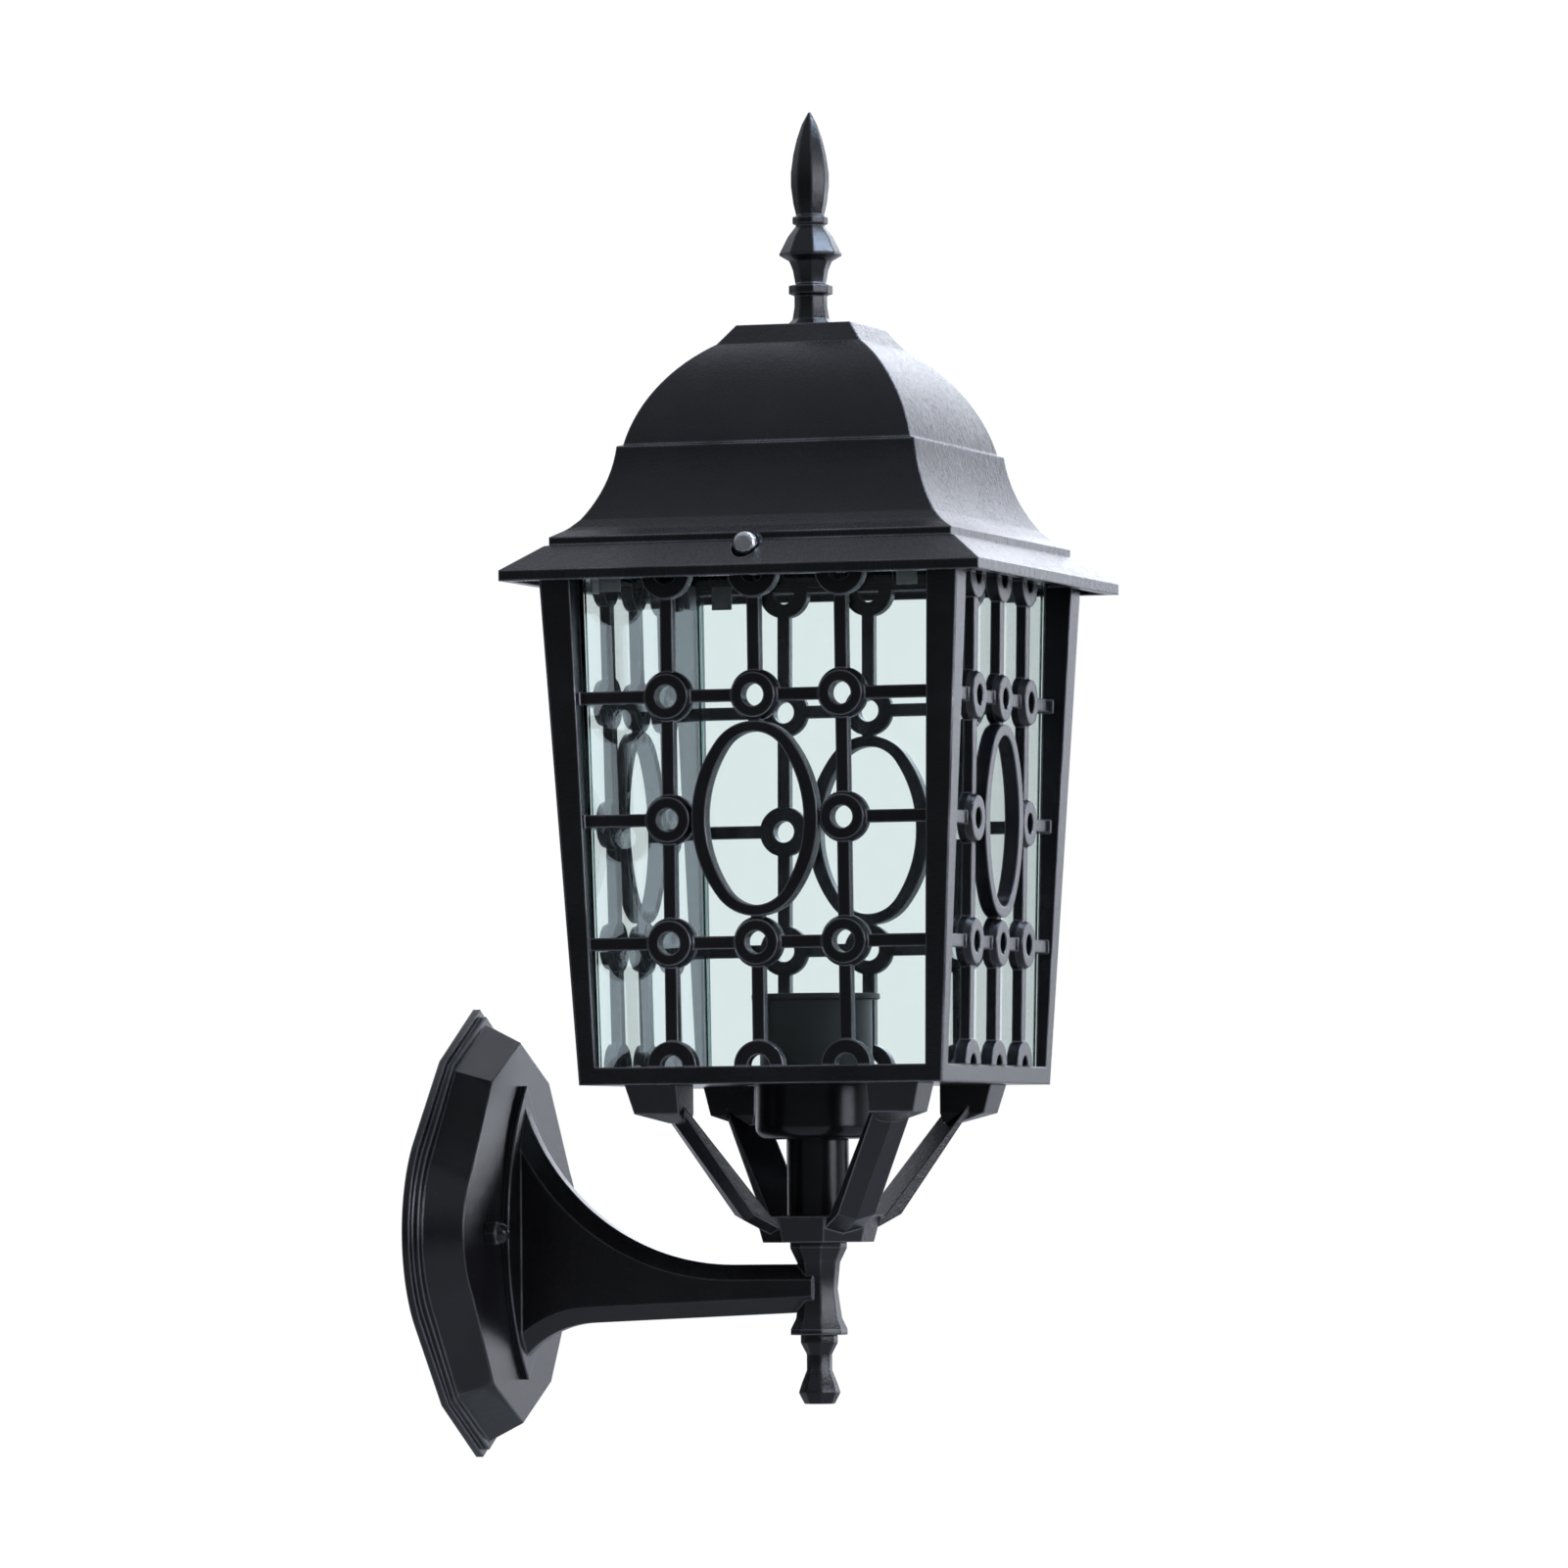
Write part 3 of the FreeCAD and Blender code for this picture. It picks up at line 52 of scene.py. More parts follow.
DRAWN_GRAIN = (300.0, 2400.0, 2400.0)


class Finish:
    """One socket of a finish. Sums on it add Math nodes, and node() adds any other node."""

    def __init__(self, tree, socket=None):
        self.tree = tree
        self.socket = socket

    def node(self, kind, settings, sockets, output=0):
        made = self.tree.nodes.new(kind)
        for name, setting in settings.items():
            setattr(made, name, setting)
        for name, given in sockets.items():
            if isinstance(given, Finish):
                self.tree.links.new(given.socket, made.inputs[name])
            else:
                made.inputs[name].default_value = given
        return Finish(self.tree, made.outputs[output] if made.outputs else None)

    def other(self, output):
        """Another output of the node that this socket belongs to."""
        return Finish(self.tree, self.socket.node.outputs[output])

    def sum_node(self, operation, first, second):
        return self.node("ShaderNodeMath", {"operation": operation}, {0: first, 1: second})

    def __add__(self, other):
        return self.sum_node("ADD", self, other)

    def __radd__(self, other):
        return self.sum_node("ADD", other, self)

    def __sub__(self, other):
        return self.sum_node("SUBTRACT", self, other)

    def __rsub__(self, other):
        return self.sum_node("SUBTRACT", other, self)

    def __mul__(self, other):
        return self.sum_node("MULTIPLY", self, other)

    def __rmul__(self, other):
        return self.sum_node("MULTIPLY", other, self)


def new_finish(name):
    """A material with an empty tree, and a Finish to build it with."""
    material = bpy.data.materials.new(name)
    material.use_nodes = True
    material.node_tree.nodes.clear()
    return material, Finish(material.node_tree)


def show(finish, surface):
    finish.node("ShaderNodeOutputMaterial", {}, {"Surface": surface})


def on_piece(finish):
    """The place of a point on the piece, in metres."""
    return finish.node("ShaderNodeTexCoord", {}, {}, output="Object")


def speckle(finish, place, scale, detail=3.0, roughness=0.6):
    """An uneven pattern from 0 to 1, with about scale patches to each unit of place."""
    sockets = {"Vector": place, "Scale": scale, "Detail": detail, "Roughness": roughness}
    return finish.node("ShaderNodeTexNoise", {}, sockets)


def ramp(finish, value, low, high, start=0.0, stop=1.0):
    """A value brought from one range to another, and held at its ends."""
    sockets = {"Value": value, "From Min": low, "From Max": high, "To Min": start, "To Max": stop}
    return finish.node("ShaderNodeMapRange", {"clamp": True}, sockets)


def tint(finish, share, under, over):
    """Two colours, mixed by a share."""
    sockets = {"Factor": share, 6: under, 7: over}
    return finish.node("ShaderNodeMix", {"data_type": "RGBA"}, sockets, output=2)


def bumpy(finish, height, strength, distance, **sockets):
    """The lie of a surface with fine relief on it."""
    relief = {"Height": height, "Strength": strength, "Distance": distance}
    return finish.node("ShaderNodeBump", {}, relief | sockets)


def plated(name, colour, gloss):
    """A plated metal, cloudy and lightly scratched."""
    material, metal = new_finish(name)
    place = on_piece(metal)
    cloud = speckle(metal, place, CLOUD_GRAIN, 4.0)
    drawn = metal.node("ShaderNodeMapping", {}, {"Vector": place, "Scale": DRAWN_GRAIN})
    scratch = speckle(metal, drawn, 1.0, 2.0)
    clouded = [CLOUD_SHADE * part for part in colour[:3]] + [1]
    steel = metal.node(
        "ShaderNodeBsdfPrincipled",
        {},
        {
            "Base Color": tint(metal, cloud, colour, clouded),
            "Roughness": gloss + 0.18 * cloud + 0.08 * scratch,
            "Metallic": 1.0,
            "Normal": bumpy(metal, scratch, 0.08, 0.0002),
        },
    )
    show(metal, steel)
    return material


MERGE = 2e-6
FLAT_ANGLE = math.radians(0.6)
HARD_ANGLE = math.radians(25)
SHARP_ANGLE = math.radians(40)
EDGE_ROOM = 2.4


def room_beside(edge):
    """How far the narrower of an edge's two faces reaches from it."""
    start, stop = (corner.co for corner in edge.verts)
    along = (stop - start).normalized()
    reaches = []
    for face in edge.link_faces:
        offsets = [corner.co - start for corner in face.verts]
        reaches.append(max((offset - along * offset.dot(along)).length for offset in offsets))
    return min(reaches)


def round_edges(shape, edges, rounding, segments):
    bmesh.ops.bevel(
        shape,
        geom=edges,
        offset=rounding,
        offset_type="OFFSET",
        segments=segments,
        profile=0.5,
        affect="EDGES",
        material=-1,
    )


def rounded_copy(node, rounding):
    """A merged copy of a solid piece, with its hard edges rounded where there is room."""
    shape = bmesh.new()
    shape.from_mesh(nodes[node].data)
    bmesh.ops.remove_doubles(shape, verts=shape.verts, dist=MERGE)
    bmesh.ops.dissolve_limit(shape, angle_limit=FLAT_ANGLE, verts=shape.verts, edges=shape.edges)
    hard = [edge for edge in shape.edges if edge.is_manifold and edge.calc_face_angle() > HARD_ANGLE]
    roomy = [edge for edge in hard if room_beside(edge) > EDGE_ROOM * rounding]
    round_edges(shape, roomy, rounding, segments=2)
    return shape


def finished(name, shape, slot, stands_for, *finishes):
    """Make a modelled shape a piece of the lamp that stands for a solid piece."""
    data = bpy.data.meshes.new(name)
    shape.to_mesh(data)
    shape.free()
    for finish in finishes:
        data.materials.append(finish)
    data.shade_smooth()
    data.set_sharp_from_angle(angle=SHARP_ANGLE)
    made = bpy.data.objects.new(name, data)
    bpy.context.collection.objects.link(made)
    even = made.modifiers.new("even_shading", "WEIGHTED_NORMAL")
    even.keep_sharp = True
    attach(made, "root")
    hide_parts(stands_for)
    return made


zinc = plated("zinc_plate", ZINC, ZINC_GLOSS)
finished("strap_bar", rounded_copy("mounting_strap", STRAP_EDGE), "zinc_steel", "mounting_strap", zinc)

# Studs: two threaded rods set in the strap, which pass through the wall plate to its cap nuts.
# They are rolled from wire and zinc plated like the strap.
STUD_PITCH = 0.0008
THREAD_STEPS = 18
THREAD_SHARE = 0.6
TO_ROOM = (0, -1, 0)


def wound(outline, pitch, length, steps, closed):
    """A thread about +Z: radii and heights of one pitch, wound up the axis and cut off to a length."""
    shape = bmesh.new()
    turns = math.ceil(length / pitch) + 2
    corners = [shape.verts.new((out, 0, up)) for out, up in outline]
    flanks = [shape.edges.new(pair) for pair in zip(corners, corners[1:])]
    bmesh.ops.spin(
        shape,
        geom=corners + flanks,
        cent=(0, 0, 0),
        axis=(0, 0, 1),
        dvec=(0, 0, pitch / steps),
        angle=2 * math.pi * turns,
        steps=turns * steps,
    )
    bmesh.ops.remove_doubles(shape, verts=shape.verts, dist=MERGE)
    for up, way in ((0, -1), (length, 1)):
        whole = shape.verts[:] + shape.edges[:] + shape.faces[:]
        cut = bmesh.ops.bisect_plane(
            shape, geom=whole, plane_co=(0, 0, up), plane_no=(0, 0, way), clear_outer=True
        )
        if closed:
            rim = [item for item in cut["geom_cut"] if isinstance(item, bmesh.types.BMEdge)]
            bmesh.ops.edgeloop_fill(shape, edges=rim)
    bmesh.ops.recalc_face_normals(shape, faces=shape.faces)
    return shape


def threaded_rod(radius, pitch, length):
    """A rod with a rolled thread, from the origin along +Z."""
    root = radius - THREAD_SHARE * pitch
    outline = [(root, -pitch), (radius, -pitch / 2), (root, 0)]
    return wound(outline, pitch, length, THREAD_STEPS, closed=True)


def gathered(parts):
    """One shape of several, each moved from the origin's +Z to a place and a way."""
    group = bmesh.new()
    for shape, place, way in parts:
        turn = Vector((0, 0, 1)).rotation_difference(Vector(way)).to_matrix().to_4x4()
        bmesh.ops.transform(shape, matrix=Matrix.Translation(place) @ turn, verts=shape.verts)
        carrier = bpy.data.meshes.new("carrier")
        shape.to_mesh(carrier)
        shape.free()
        group.from_mesh(carrier)
        bpy.data.meshes.remove(carrier)
    return group


low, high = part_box("strap_studs")
stud_radius = (high.z - low.z) / 2
stud_parts = [
    (threaded_rod(stud_radius, STUD_PITCH, high.y - low.y), (across, high.y, 0), TO_ROOM)
    for across in (low.x + stud_radius, high.x - stud_radius)
]
finished("threaded_studs", gathered(stud_parts), "zinc_steel", "strap_studs", zinc)

# Terminal block: a pale moulding held inside the plate's face, with a row of clamps for the wires.
# Each clamp has two slotted screws, turned from steel and zinc plated, sunk below the surface.
BLOCK_EDGE = 0.0005
PALE = (0.78, 0.77, 0.72, 1)
PALE_SHADE = (0.66, 0.65, 0.6, 1)
PALE_GRAIN = 700.0
CLAMP_RADIUS = 0.0018
CLAMP_BREAK = 0.0003
SLOT_HALF = 0.0003
SLOT_DEPTH = 0.0007
LATHE_STEPS = 28
TO_WALL = (0, 1, 0)
pale_moulding, plastic = new_finish("pale_moulding")
grain = speckle(plastic, on_piece(plastic), PALE_GRAIN)
moulded = plastic.node(
    "ShaderNodeBsdfPrincipled",
    {},
    {
        "Base Color": tint(plastic, grain, PALE, PALE_SHADE),
        "Roughness": 0.35 + 0.2 * grain,
        "Normal": bumpy(plastic, grain, 0.1, 0.0002),
    },
)
show(plastic, moulded)
block = rounded_copy("terminal_block", BLOCK_EDGE)
finished("wire_clamps", block, "terminal_plastic", "terminal_block", pale_moulding)


def turned(outline):
    """A closed turned form about +Z, from radii and heights that start and end on the axis."""
    shape = bmesh.new()
    corners = [shape.verts.new((out, 0, up)) for out, up in outline]
    sides = [shape.edges.new(pair) for pair in zip(corners, corners[1:])]
    bmesh.ops.spin(
        shape,
        geom=corners + sides,
        cent=(0, 0, 0),
        axis=(0, 0, 1),
        angle=2 * math.pi,
        steps=LATHE_STEPS,
        use_merge=True,
    )
    bmesh.ops.remove_doubles(shape, verts=shape.verts, dist=MERGE)
    bmesh.ops.recalc_face_normals(shape, faces=shape.faces)
    return shape


def pressed(shape, top, half, reach, depth, cross):
    """Press a slot or a cross into the flat top of a screw head."""

    def on_top(face):
        return all(abs(corner.co.z - top) < MERGE for corner in face.verts)

    def top_faces():
        return [face for face in shape.faces if on_top(face)]

    bmesh.ops.dissolve_faces(shape, faces=top_faces())
    axes = (Vector((1, 0, 0)), Vector((0, 1, 0)))
    for axis in axes:
        for offset in (-reach, -half, half, reach):
            faces = top_faces()
            edges = {edge for face in faces for edge in face.edges}
            corners = {corner for face in faces for corner in face.verts}
            whole = faces + list(edges) + list(corners)
            bmesh.ops.bisect_plane(shape, geom=whole, plane_co=axis * offset, plane_no=axis)

    def in_slot(face, along, across):
        middle = face.calc_center_median()
        return abs(middle.dot(across)) < half and abs(middle.dot(along)) < reach

    ways = [axes, axes[::-1]] if cross else [axes]
    recess = [face for face in top_faces() if any(in_slot(face, *way) for way in ways)]
    sunk = bmesh.ops.extrude_face_region(shape, geom=recess)
    bottom = [item for item in sunk["geom"] if isinstance(item, bmesh.types.BMVert)]
    bmesh.ops.translate(shape, verts=bottom, vec=(0, 0, -depth))
    return shape


low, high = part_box("terminal_screws")
clamp_length = high.y - low.y
clamp_outline = [
    (0, 0),
    (0.85 * CLAMP_RADIUS, 0),
    (CLAMP_RADIUS, -CLAMP_BREAK),
    (CLAMP_RADIUS, -clamp_length),
    (0, -clamp_length),
]
clamp_parts = []
for across in (low.x + CLAMP_RADIUS, 0, high.x - CLAMP_RADIUS):
    for up in (low.z + CLAMP_RADIUS, high.z - CLAMP_RADIUS):
        clamp = pressed(turned(clamp_outline), 0, SLOT_HALF, CLAMP_RADIUS, SLOT_DEPTH, cross=False)
        clamp_parts.append((clamp, (across, high.y, up), TO_WALL))
finished("clamp_screws", gathered(clamp_parts), "zinc_steel", "terminal_screws", zinc)

# Wall plate: a die-cast aluminium shell with pointed ends, bowed sides, a rim and a bead.
# It has a sprayed satin black coat with a fine grain, rubbed through to the metal along its edges; these
# lighter edges are partly a painted glint.
PLATE_EDGE = 0.00025
BLACK_COAT = (0.0088, 0.0085, 0.0102, 1)
DUST_FILM = (0.02, 0.0195, 0.021, 1)
# Lighter bare-metal edge colour: partly rubbed-through wear, partly a painted edge glint.
WORN_EDGE_AND_GLINT = (0.42, 0.42, 0.45, 1)
ROUNDED_EDGE_REACH = 0.0011
WORN_AND_GLINT_TURN = (0.985, 0.92)
WORN_AND_GLINT_PATCHES = (0.3, 0.75, 0.2, 0.9)
DUST_PATCHES = (0.45, 0.8)
FILM_GRAIN = 38.0
PIT_GRAIN = 320.0
SPRAY_GRAIN = 1500.0
STREAK_GRAIN = (1000.0, 1000.0, 22.0)
COAT_RELIEF = 0.0004
COAT_SHINE = 0.42
CAST_GLOSS = 0.17
CAST_ROUGH = 0.28


def black_coat(name, gloss, relief, streaks=0.0):
    """The sprayed black of the lamp. streaks are marks of dressing that run up and down a casting."""
    material, coat = new_finish(name)
    place = on_piece(coat)
    film = speckle(coat, place, FILM_GRAIN)
    fine = speckle(coat, place, SPRAY_GRAIN, 2.0)
    pitted = speckle(coat, place, PIT_GRAIN, 4.0, 0.7)
    rounded = coat.node("ShaderNodeBevel", {"samples": 6}, {"Radius": ROUNDED_EDGE_REACH})
    flat = coat.node("ShaderNodeNewGeometry", {}, {}, output="True Normal")
    turn = coat.node(
        "ShaderNodeVectorMath", {"operation": "DOT_PRODUCT"}, {0: rounded, 1: flat}, output="Value"
    )
    # Edge mask from the rounded normals, widened to obtuse and concave edges: partly wear, partly a
    # painted glint that lightens the edges and makes them metallic.
    worn_and_glint = ramp(coat, turn, *WORN_AND_GLINT_TURN) * ramp(coat, film, *WORN_AND_GLINT_PATCHES)
    colour = tint(coat, 0.5 * ramp(coat, film, *DUST_PATCHES), BLACK_COAT, DUST_FILM)
    rough = gloss + 0.12 * film + 0.1 * (pitted - 0.5)
    height = 0.6 * fine + pitted
    if streaks:
        drawn = coat.node("ShaderNodeMapping", {}, {"Vector": place, "Scale": STREAK_GRAIN})
        mark = speckle(coat, drawn, 1.0, 3.0, 0.7)
        rough = rough + streaks * (mark - 0.5)
        height = height + 2.0 * streaks * mark
    paint = coat.node(
        "ShaderNodeBsdfPrincipled",
        {},
        {
            "Base Color": tint(coat, worn_and_glint, colour, WORN_EDGE_AND_GLINT),
            "Roughness": rough,
            "Metallic": worn_and_glint,
            "Normal": bumpy(coat, height, relief, COAT_RELIEF, Normal=rounded),
            "Specular IOR Level": COAT_SHINE,
        },
    )
    show(coat, paint)
    return material


satin_black = black_coat("satin_black_cast", CAST_GLOSS, CAST_ROUGH)
finished("plate_casting", rounded_copy("wall_plate", PLATE_EDGE), "cast_black", "wall_plate", satin_black)

# Earth screw and arm screws: pan heads with cross recesses, zinc plated, all inside the hollow plate.
# The earth screw sits on its own boss, and the other two hold the arm.
SCREW_HEAD_RADIUS = 0.0042
SCREW_HEAD_TALL = 0.0028
EARTH_SHANK = 0.0021
ARM_SHANK = 0.0025
CROSS_HALF = 0.00055
CROSS_REACH = 0.0021
CROSS_DEPTH = 0.0013


def pan_screw(head_radius, head_tall, shank_radius, length, recess_share=1.0):
    """A screw with its seat at the origin, its domed head along +Z and its shank below."""
    outline = [
        (0, head_tall),
        (0.66 * head_radius, head_tall),
        (0.88 * head_radius, 0.84 * head_tall),
        (0.98 * head_radius, 0.5 * head_tall),
        (head_radius, 0.15 * head_tall),
        (0.97 * head_radius, 0),
        (shank_radius, 0),
        (shank_radius, -length),
        (0, -length),
    ]
    reach = CROSS_REACH * recess_share
    depth = CROSS_DEPTH * recess_share
    return pressed(turned(outline), head_tall, CROSS_HALF, reach, depth, cross=True)


low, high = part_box("earth_screw")
middle = (low + high) / 2
seat = high.y - SCREW_HEAD_TALL
earth = pan_screw(SCREW_HEAD_RADIUS, SCREW_HEAD_TALL, EARTH_SHANK, seat - low.y)
earth_parts = [(earth, (middle.x, seat, middle.z), TO_WALL)]
finished("earth_fixing", gathered(earth_parts), "zinc_steel", "earth_screw", zinc)
low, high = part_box("arm_screws")
seat = high.y - SCREW_HEAD_TALL
arm_screw_parts = [
    (pan_screw(SCREW_HEAD_RADIUS, SCREW_HEAD_TALL, ARM_SHANK, seat - low.y), (0, seat, up), TO_WALL)
    for up in (low.z + SCREW_HEAD_RADIUS, high.z - SCREW_HEAD_RADIUS)
]
finished("arm_fixings", gathered(arm_screw_parts), "zinc_steel", "arm_screws", zinc)

# Cap nuts: two small domed nuts on the studs, which clamp the plate against the wall.
# They are pressed steel under the same black as the plate.
NUT_CORNER = 0.005
NUT_TALL = 0.0044
NUT_ROUNDING = 0.0005
DOME_STEPS = 9
low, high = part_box("cap_nuts")
dome_tall = high.y - low.y - NUT_TALL
dome_outline = [(0, dome_tall)]
for step in range(1, DOME_STEPS + 1):
    turn = math.radians(90 / DOME_STEPS * step)
    dome_outline.append((dome_tall * math.sin(turn), dome_tall * math.cos(turn)))
dome_outline.append((0, 0))
nut_parts = []
for across in (low.x + NUT_CORNER, high.x - NUT_CORNER):
    hexagon = bmesh.new()
    bmesh.ops.create_cone(
        hexagon, segments=6, radius1=NUT_CORNER, radius2=NUT_CORNER, depth=NUT_TALL, cap_ends=True
    )
    bmesh.ops.rotate(hexagon, verts=hexagon.verts, matrix=Matrix.Rotation(math.radians(30), 3, "Z"))
    bmesh.ops.translate(hexagon, verts=hexagon.verts, vec=(0, 0, NUT_TALL / 2))
    round_edges(hexagon, hexagon.edges[:], NUT_ROUNDING, segments=3)
    nut_parts.append((hexagon, (across, high.y, 0), TO_ROOM))
    nut_parts.append((turned(dome_outline), (across, high.y - NUT_TALL, 0), TO_ROOM))
finished("domed_nuts", gathered(nut_parts), "cast_black", "cap_nuts", satin_black)

# Bracket arm: one casting of a pointed foot, a flared bar with bevelled edges and an eight-sided stem.
# It is screwed to the plate from inside and is bored for the wires.
ARM_EDGE = 0.00025
finished("arm_casting", rounded_copy("bracket_arm", ARM_EDGE), "cast_black", "bracket_arm", satin_black)

# Drop: a small eight-sided casting that ends the stem below the arm.
# It is tapped, and screws onto the lower end of the pipe.
DROP_EDGE = 0.0004
finished("drop_casting", rounded_copy("drop_finial", DROP_EDGE), "cast_black", "drop_finial", satin_black)

# Cradle: one casting of a hub and four ridged legs with square feet, which carries the lantern.
# The pipe clamps its hub to the stem.


def wear(node, finish):
    """Give a solid piece its finish as it is."""
    nodes[node].data.materials.clear()
    nodes[node].data.materials.append(finish)


wear("cradle", satin_black)

# Support tube, cup, pipe and nut: the tube and the drawn cup stand on the hub under the lamp holder.
# Both are steel under a smoother black, and the zinc-plated pipe and its nut clamp them.
SHEET_EDGE = 0.0003
NUT_EDGE = 0.0004
SHEET_GLOSS = 0.16
SHEET_ROUGH = 0.06
smooth_black = black_coat("smooth_black_sheet", SHEET_GLOSS, SHEET_ROUGH)
tube = rounded_copy("support_tube", SHEET_EDGE)
finished("spacer_tube", tube, "sheet_black", "support_tube", smooth_black)
finished("drawn_cup", rounded_copy("holder_cup", SHEET_EDGE), "sheet_black", "holder_cup", smooth_black)
finished("clamp_nut", rounded_copy("pipe_nut", NUT_EDGE), "zinc_steel", "pipe_nut", zinc)
wear("threaded_pipe", zinc)

# Lamp holder: a black moulding with a lip, standing in the cup, for a screw-cap lamp.
# A brass shell with a rolled thread and a sprung brass tongue are pressed into it.
HOLDER_EDGE = 0.00035
MOULDED_BLACK = (0.01, 0.01, 0.011, 1)
DUSTY_BLACK = (0.02, 0.02, 0.021, 1)
MOULD_GRAIN = 900.0
DUST_GRAIN = 45.0
BRASS = (0.72, 0.5, 0.2, 1)
BRASS_GLOSS = 0.22
LAMP_PITCH = 0.0036
THREAD_DEEP = 0.0007
WAVE_STEPS = 8
SHELL_WALL = 0.0003
TONGUE_EDGE = 0.0002
UP = (0, 0, 1)
black_moulding, plastic = new_finish("black_moulding")
place = on_piece(plastic)
grain = speckle(plastic, place, MOULD_GRAIN)
dust = speckle(plastic, place, DUST_GRAIN)
moulded = plastic.node(
    "ShaderNodeBsdfPrincipled",
    {},
    {
        "Base Color": tint(plastic, dust, MOULDED_BLACK, DUSTY_BLACK),
        "Roughness": 0.25 + 0.15 * grain,
        "Normal": bumpy(plastic, grain, 0.06, 0.0003),
    },
)
show(plastic, moulded)
holder = rounded_copy("lamp_holder", HOLDER_EDGE)
finished("holder_moulding", holder, "holder_plastic", "lamp_holder", black_moulding)
brass = plated("rolled_brass", BRASS, BRASS_GLOSS)
low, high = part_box("screw_shell")
middle = (low + high) / 2
shell_radius = (high.x - low.x) / 2 - SHELL_WALL
wave = []
for step in range(WAVE_STEPS + 1):
    share = step / WAVE_STEPS
    hollow = THREAD_DEEP * (0.5 - 0.5 * math.cos(2 * math.pi * share))
    wave.append((shell_radius - hollow, LAMP_PITCH * (share - 1)))
shell = wound(wave, LAMP_PITCH, high.z - low.z, 2 * LATHE_STEPS, closed=False)
bmesh.ops.solidify(shell, geom=shell.faces, thickness=SHELL_WALL)
shell_parts = [(shell, (middle.x, middle.y, low.z), UP)]
finished("rolled_shell", gathered(shell_parts), "brass", "screw_shell", brass)
finished("contact_tongue", rounded_copy("centre_contact", TONGUE_EDGE), "brass", "centre_contact", brass)

# Lantern floor: a square sheet plate on the cradle's feet, screwed to them and to the panels' lips.
# The foot screws have pan heads inside, and the flush floor screws are driven from below.
FOOT_SHANK = 0.002
FLUSH_RADIUS = 0.0028
FLUSH_TALL = 0.001
FLUSH_SHANK = 0.0015
FLUSH_DEPTH = 0.0006
FLUSH_RECESS = 0.6
SCREW_SPREAD = 0.04
DOWN = (0, 0, -1)
wear("lantern_floor", smooth_black)
low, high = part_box("foot_screws")
seat = high.z - SCREW_HEAD_TALL
foot_parts = []
for across in (low.x + SCREW_HEAD_RADIUS, high.x - SCREW_HEAD_RADIUS):
    for along in (low.y + SCREW_HEAD_RADIUS, high.y - SCREW_HEAD_RADIUS):
        foot_screw = pan_screw(SCREW_HEAD_RADIUS, SCREW_HEAD_TALL, FOOT_SHANK, seat - low.z)
        foot_parts.append((foot_screw, (across, along, seat), UP))
finished("foot_fixings", gathered(foot_parts), "zinc_steel", "foot_screws", zinc)
low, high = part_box("floor_screws")
middle = (low + high) / 2
lip_reach = (high.x - low.x) / 2 - FLUSH_RADIUS
flush_end = high.z - low.z - FLUSH_TALL
flush_outline = [
    (0, FLUSH_TALL),
    (0.97 * FLUSH_RADIUS, FLUSH_TALL),
    (FLUSH_RADIUS, 0.9 * FLUSH_TALL),
    (FLUSH_RADIUS, 0),
    (FLUSH_SHANK, 0),
    (FLUSH_SHANK, -flush_end),
    (0, -flush_end),
]
flush_half = CROSS_HALF * FLUSH_RECESS
flush_reach = CROSS_REACH * FLUSH_RECESS
flush_parts = []
for along in (-SCREW_SPREAD, SCREW_SPREAD):
    for side in (-lip_reach, lip_reach):
        for across, depth in ((along, side), (side, along)):
            flush = turned(flush_outline)
            pressed(flush, FLUSH_TALL, flush_half, flush_reach, FLUSH_DEPTH, cross=True)
            flush_parts.append((flush, (across, middle.y + depth, low.z + FLUSH_TALL), DOWN))
finished("floor_fixings", gathered(flush_parts), "zinc_steel", "floor_screws", zinc)

# Lattice panels: four alike, each one casting of posts, rails, bars, rings and an oval.
# They are mitred at the corners, screwed to the floor and held at the top by the roof.
SIDES = ("front", "rear", "left", "right")
for side in SIDES:
    wear(f"{side}_panel", satin_black)

# Panes: clear float glass with a faint green cast and darker green edges, 3 mm thick, arrises broken.
# They stand on the panels' lips behind the lattice, under an uneven film that dulls them a little.
PANE_EDGE = 0.0003
CLEAR_GREEN = (0.9, 0.965, 0.963, 1)
EDGE_GREEN = (0.2, 0.42, 0.36, 1)
CLEAR_HAZE = 0.02
EDGE_HAZE = 0.3
HAZE_GRAIN = 30.0
HAZE_PATCHES = (0.5, 0.9)
BROAD_FACE = 0.01


def float_glass(name, colour, haze):
    """Clear glass of one colour, dulled unevenly by a film. It lets light through in its shadow."""
    material, pane = new_finish(name)
    film = speckle(pane, on_piece(pane), HAZE_GRAIN, 5.0)
    clear = pane.node(
        "ShaderNodeBsdfPrincipled",
        {},
        {
            "Base Color": colour,
            "Roughness": ramp(pane, film, *HAZE_PATCHES, stop=haze),
            "Transmission Weight": 1.0,
        },
    )
    through = pane.node("ShaderNodeBsdfTransparent", {}, {"Color": colour})
    in_shadow = pane.node("ShaderNodeLightPath", {}, {}, output="Is Shadow Ray")
    show(pane, pane.node("ShaderNodeMixShader", {}, {0: in_shadow, 1: clear, 2: through}))
    return material


clear_pane = float_glass("clear_pane", CLEAR_GREEN, CLEAR_HAZE)
pane_edge = float_glass("pane_edge", EDGE_GREEN, EDGE_HAZE)
for side in SIDES:
    pane = rounded_copy(f"{side}_glass", PANE_EDGE)
    for face in pane.faces:
        face.material_index = 0 if face.calc_area() > BROAD_FACE else 1
    finished(f"{side}_pane", pane, "clear_glass", f"{side}_glass", clear_pane, pane_edge)

